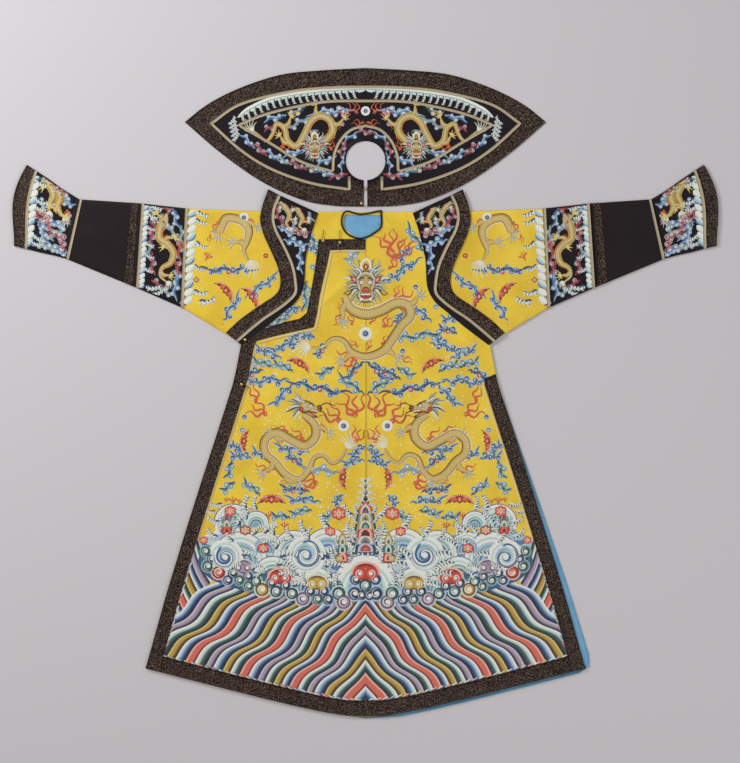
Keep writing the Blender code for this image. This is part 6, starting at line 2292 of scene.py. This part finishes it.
@dataclass
class WingWork:
    """Embroidery of one shoulder wing."""

    side: Side
    heads_growth: float = 1.2
    clouds: Array = field(default_factory=lambda: SIDE_PHOTO.placed("xynrnnn", [
        # x, y, turn in degrees, length, scroll heads, look, head's radius
        (283, 222, 40, 10, 2, 4, 4.2), (287, 231, 20, 12, 3, 5, 4.4), (301, 233, 0, 12, 3, 4, 4.8),
        (297, 243, 10, 16, 4, 5, 4.8), (301, 253, 80, 10, 2, 5, 4.2), (301, 263, 85, 14, 3, 5, 4),
        (310, 214, 60, 12, 2, 2, 4), (294, 226, 70, 8, 2, 2, 3.8), (306, 205, 10, 10, 2, 4, 3.6),
        (278, 214, 70, 8, 2, 4, 3.6), (291, 199, 20, 8, 2, 5, 3.4),
    ]))
    first: Array = field(default_factory=lambda: SIDE_PHOTO.placed("xy", [
        # x, y
        (282, 204), (287, 209), (290, 216), (287, 223), (290, 228),
    ]))
    second: Array = field(default_factory=lambda: SIDE_PHOTO.placed("xy", [
        # x, y
        (296, 206), (300, 213), (303, 219), (300, 226), (303, 229),
    ]))

    def limits(self, x: Array) -> tuple[Array, Array]:
        """Lowest and highest y that the embroidery reaches, the highest just inside the wing's upper edge."""
        return np.zeros(np.shape(x)), 487.0 + (x - 151.0) * 0.365

    def surface(self, x: Array, y: Array) -> Array:
        """Height of the wing's upper side."""
        return ON_FRONT + CLOTH + relief(x, y)

    def build(self, finishes: dict[str, Material]) -> None:
        """Work the wing."""
        needle = Needle(self.surface, self.side.value, self.limits)
        dark = Motifs(needle, False)
        dark.clouds(self.clouds, self.heads_growth)
        hide = Hide("gold pale_gold cream gold", "umber", "cream teal", "orange", "cream",
                    "grey blue cream teal")
        for spine in (self.first, self.second):
            legs = np.array(((0.3, 20.0, 17.0, 1.0), (0.6, 190.0, 15.0, 1.0)))
            Dragon(dark, hide, 13.0).body(spine, legs, 0.7)
            Dragon(dark, hide, 13.0).profile_head(Spot(spine[0, 0], spine[0, 1], 1.9, 1.2))
        dark.flame(Spot(159.0, 458.0, 1.0, 1.5), 20.0, 2)
        needle.finish(f"wing_{self.side.word}", finishes, "dark_satin")


@dataclass
class CollarWork:
    """Embroidery of one half of the collar; the pearl at the middle goes with the right half."""

    side: Side
    heads_growth: float = 1.3
    clouds: Array = field(default_factory=lambda: SIDE_PHOTO.placed("xynrnnn", [
        # x, y, turn in degrees, length, scroll heads, look, head's radius
        (248, 141, -40, 12, 3, 5, 3.8), (260, 149, -35, 12, 3, 4, 3.8), (272, 155, -30, 12, 3, 5, 3.8),
        (283, 160, -20, 12, 3, 2, 3.8), (297, 165, -20, 14, 3, 4, 3.8), (312, 169, -10, 12, 3, 6, 3.8),
        (325, 173, -10, 14, 3, 5, 3.8), (338, 176, 20, 12, 3, 4, 3.8), (343, 162, 80, 12, 3, 5, 3.4),
        (343, 148, 75, 12, 3, 4, 3.4), (351, 137, 40, 12, 2, 5, 3.4), (366, 132, 0, 12, 3, 4, 3.4),
        (330, 112, 5, 28, 6, 5, 4.8), (344, 113, 0, 8, 2, 4, 4.6), (275, 118, 20, 14, 3, 5, 4.2),
        (297, 112, 40, 12, 3, 6, 4.2), (294, 153, 20, 14, 3, 5, 4.2), (326, 161, 30, 14, 3, 5, 4.2),
        (302, 121, 30, 12, 2, 2, 4), (291, 127, 30, 10, 2, 2, 3.6), (270, 128, 30, 8, 2, 4, 3.6),
        (339, 124, 50, 8, 2, 4, 3.6), (310, 131, 10, 10, 2, 2, 3.6),
    ]))
    spine: Array = field(default_factory=lambda: SIDE_PHOTO.placed("xy", [
        # x, y
        (316, 146), (326, 140), (333, 131), (330, 120), (320, 116), (311, 122), (305, 134), (297, 146),
        (288, 141), (285, 129), (277, 124), (273, 134), (267, 141), (260, 136), (254, 131),
    ]))
    flames: Array = field(default_factory=lambda: SIDE_PHOTO.placed("xynrn", [
        # x, y, turn in degrees, length, tongues
        (284, 146, 150, 16, 3), (331, 147, 80, 14, 3), (356, 110, 70, 16, 3), (361, 123, 10, 14, 2),
        (333, 136, 60, 12, 2),
    ]))
    wave: Array = field(default_factory=lambda: SIDE_PHOTO.placed("xy", [
        # x, y
        (238, 118), (250, 110), (270, 101), (295, 95.5), (325, 92), (350, 90.5), (365.9, 90),
    ]))

    def surface(self, x: Array, y: Array) -> Array:
        """Height of the collar's upper side."""
        return np.full(np.shape(x), CLOTH)

    def build(self, finishes: dict[str, Material]) -> None:
        """Work the half."""
        needle = Needle(self.surface, self.side.value)
        dark = Motifs(needle, False)
        surf = Surf(needle)
        line = smooth_line(self.wave, 60)
        needle.stroke(line + (0.0, 1.0), 17.0, inks("pale_aqua white aqua white white"), 0.24, 0.2, 140,
                      (0.1, 0.02),
                      False, (18.0, 0.45))
        for index in range(1, 19):
            x, y = line[index * 3]
            surf.foam(Spot(x, y - 8.0, 2.1, math.radians(200.0)), 4)
        for step in range(5):
            surf.foam(Spot(362.0 - 2.5 * step, 731.0 - 11.0 * step, 2.4, math.radians(70.0)), 4)
        for x, y, turn, length, heads, look, head in self.clouds:
            if self.side is Side.LEFT or abs(x) > 2.0:
                dark.cloud(Spot(x, y, 1.0, math.radians(180.0 - turn)), length, int(heads), int(look),
                           head * self.heads_growth)
        dark.flames(self.flames)
        hide = Hide(*GOLD_HIDE)
        legs = np.array(((0.20, 150.0, 36.0, 1.0), (0.30, 70.0, 32.0, -1.0), (0.60, 40.0, 34.0, -1.0),
                         (0.72, 130.0, 34.0, 1.0)))
        dragon = Dragon(dark, hide, 18.0)
        dragon.body(self.spine, legs, 1.1)
        dragon.front_head(Spot(137.0, 660.0, 4.1))
        if self.side is Side.RIGHT:
            dark.pearl(0.0, 760.0, 12.5)
        needle.finish(f"collar_{self.side.word}", finishes, "dark_satin")


@dataclass
class Edging:
    """Fine lines beside the bands: a strip of tan and paler sand on the yellow ground, slanting dashes by the
    water, and gold specks."""

    needle: Needle
    dash: float = 19.0

    def build(self, overlap: Array) -> None:
        """Work the lines.

        Args:
            overlap: Table of the overlapping front's edges, outer and inner.
        """
        inner = overlap[:, 2:] + ((0.0, -4.0),) * len(overlap)
        self.cord(inner[:3])
        for sign in (-1.0, 1.0):
            y = np.linspace(120.0 if sign < 0.0 else 30.0, -470.0, 30)
            self.cord(np.column_stack((sign * (inner_edge(y) - 4.0), y)))
            y = np.linspace(-455.0, -690.0, 60)
            self.dashes(np.column_stack((sign * (inner_edge(y) - 3.0), y)), sign)
            x = sign * np.linspace(6.0, 546.0, 90)
            self.dashes(np.column_stack((x, hem_y(x) + HEM_BAND + 4.0)), sign)
        side = overlap[2:, 2:] + (6.0, -4.0)
        self.cord(np.vstack((side[:6], overlap[7:, 2:] + (6.0, -5.0))))
        self.specks()

    def cord(self, line: Array) -> None:
        """Lay one strip along a line: tan along one side and a paler sand along the other."""
        points = resampled(line, 60)
        self.needle.stroke(points, 8.0, inks("tan sand"), 0.1, 0.04, 60, (0.0, 0.0))

    def dashes(self, line: Array, sign: float) -> None:
        """Lay slanting dashes of several colours along a line."""
        points = resampled(line, int(run_of(line)[-1] / self.dash) + 1)
        looks = ("white grey", "cream gold", "white blue", "pale_lilac plum", "white teal", "pink coral")
        for index in range(len(points) - 1):
            first, last = points[index], points[index + 1]
            step = last - first
            lean = np.array((-step[1], step[0])) * 0.16 * sign
            strand = np.array((first - lean, (first + last) / 2.0, last + lean))
            self.needle.stroke(strand, 5.5, inks(looks[index % 6]), 0.42, 0.2, 5, (0.25, 0.25))

    def specks(self) -> None:
        """Scatter small pale stitches round the dragons."""
        draw = np.random.default_rng(7)
        middles = np.array(((-150.0, -60.0), (150.0, -60.0), (0.0, 170.0), (-270.0, -140.0), (270.0, -140.0),
                            (-170.0, -290.0), (170.0, -290.0), (-240.0, 60.0), (240.0, 60.0), (-60.0, -260.0),
                            (60.0, -260.0)))
        for place in middles:
            for x, y in place + draw.normal(0.0, 48.0, (60, 2)):
                if abs(x) < inner_edge(np.array(y)) - 12.0 and y < 330.0 and not (x < -100.0 and y > 150.0):
                    self.needle.disc(x, y, 1.2 + draw.random(), inks("white"), 0.12, 0.1, 6)


@dataclass
class Studio:
    """Pale floor, soft light from above and the camera that looks straight down."""

    width: float = 1.998
    height: float = 2.060
    middle: tuple[float, float] = (0.01215, 0.0297)
    distance: float = 6.0
    floor_size: float = 9.0

    def build(self) -> None:
        """Make the floor, lights and camera."""
        self.build_floor()
        self.build_light()
        self.build_camera()

    def build_floor(self) -> None:
        """Make the floor: a flat square under the robe with a plain matt finish."""
        half = self.floor_size / 2.0
        mesh = bpy.data.meshes.new("studio_floor")
        low = -0.0002
        mesh.from_pydata([(-half, -half, low), (half, -half, low), (half, half, low), (-half, half, low)], [],
                         [(0, 1, 2, 3)])
        floor = bpy.data.objects.new("studio_floor", mesh)
        bpy.context.scene.collection.objects.link(floor)
        paint = bpy.data.materials.new("floor_paper")
        paint.use_nodes = True
        shader = paint.node_tree.nodes["Principled BSDF"]
        shader.inputs["Base Color"].default_value = rgba(srgb(204, 201, 203))
        shader.inputs["Roughness"].default_value = 0.9
        shader.inputs["Specular IOR Level"].default_value = 0.1
        mesh.materials.append(paint)

    def build_light(self) -> None:
        """Make one large soft light above the upper left and a pale sky all round."""
        world = bpy.data.worlds.new("studio_sky")
        world.use_nodes = True
        sky = world.node_tree.nodes["Background"]
        sky.inputs["Color"].default_value = (1.0, 0.975, 1.0, 1.0)
        sky.inputs["Strength"].default_value = 0.46
        bpy.context.scene.world = world
        for name, place, size, watts in (("key_light", (-2.9, 2.6, 2.3), 1.4, 120.0),
                                         ("fill_light", (2.6, -1.2, 3.6), 3.0, 42.0)):
            light = bpy.data.lights.new(name, "AREA")
            light.size = size
            light.energy = watts
            lamp = bpy.data.objects.new(name, light)
            lamp.location = place
            lamp.rotation_euler = (Vector((0.0, 0.0, 0.0)) - Vector(place)).to_track_quat("-Z",
                "Y").to_euler()
            bpy.context.scene.collection.objects.link(lamp)

    def build_camera(self) -> None:
        """Make the camera, straight above the middle of the picture."""
        camera = bpy.data.cameras.new("plan_camera")
        camera.sensor_fit = "VERTICAL"
        camera.sensor_height = 24.0
        camera.lens = 24.0 * self.distance / self.height
        camera.clip_end = 50.0
        eye = bpy.data.objects.new("plan_camera", camera)
        eye.location = (*self.middle, self.distance)
        bpy.context.scene.collection.objects.link(eye)
        bpy.context.scene.camera = eye
        bpy.context.scene.view_settings.view_transform = "Standard"


def main() -> None:
    """Make every piece, stage the robe and log what is made."""
    logging.basicConfig(level=logging.INFO, format="%(name)s: %(message)s")
    materials = Finishes(Effects()).all()
    body = Body(materials)
    body.build()
    LOG.info("body made")
    for side in Side:
        Sleeve(side, materials).build()
        Wing(side, materials).build(body.overlap)
        LOG.info("%s sleeve and wing made", side.word)
    Collar(materials).build()
    LOG.info("collar made")
    Fastenings(materials).build()
    LOG.info("fastenings finished")
    surf, water, sky = Needle(on_body), Needle(on_body), Needle(on_body)
    Surf(surf).build()
    surf.finish("body_surf", materials, "yellow_silk")
    Waters(water).build()
    water.finish("body_water", materials, "yellow_silk")
    Sky(sky).build()
    Edging(sky).build(body.overlap)
    sky.finish("body", materials, "yellow_silk")
    LOG.info("body embroidered")
    for side in Side:
        SleeveWork(side).build(materials)
        WingWork(side).build(materials)
        CollarWork(side).build(materials)
        LOG.info("%s trimmings embroidered", side.word)
    Studio().build()
    LOG.info("studio made")


if __name__ == "__main__":
    main()
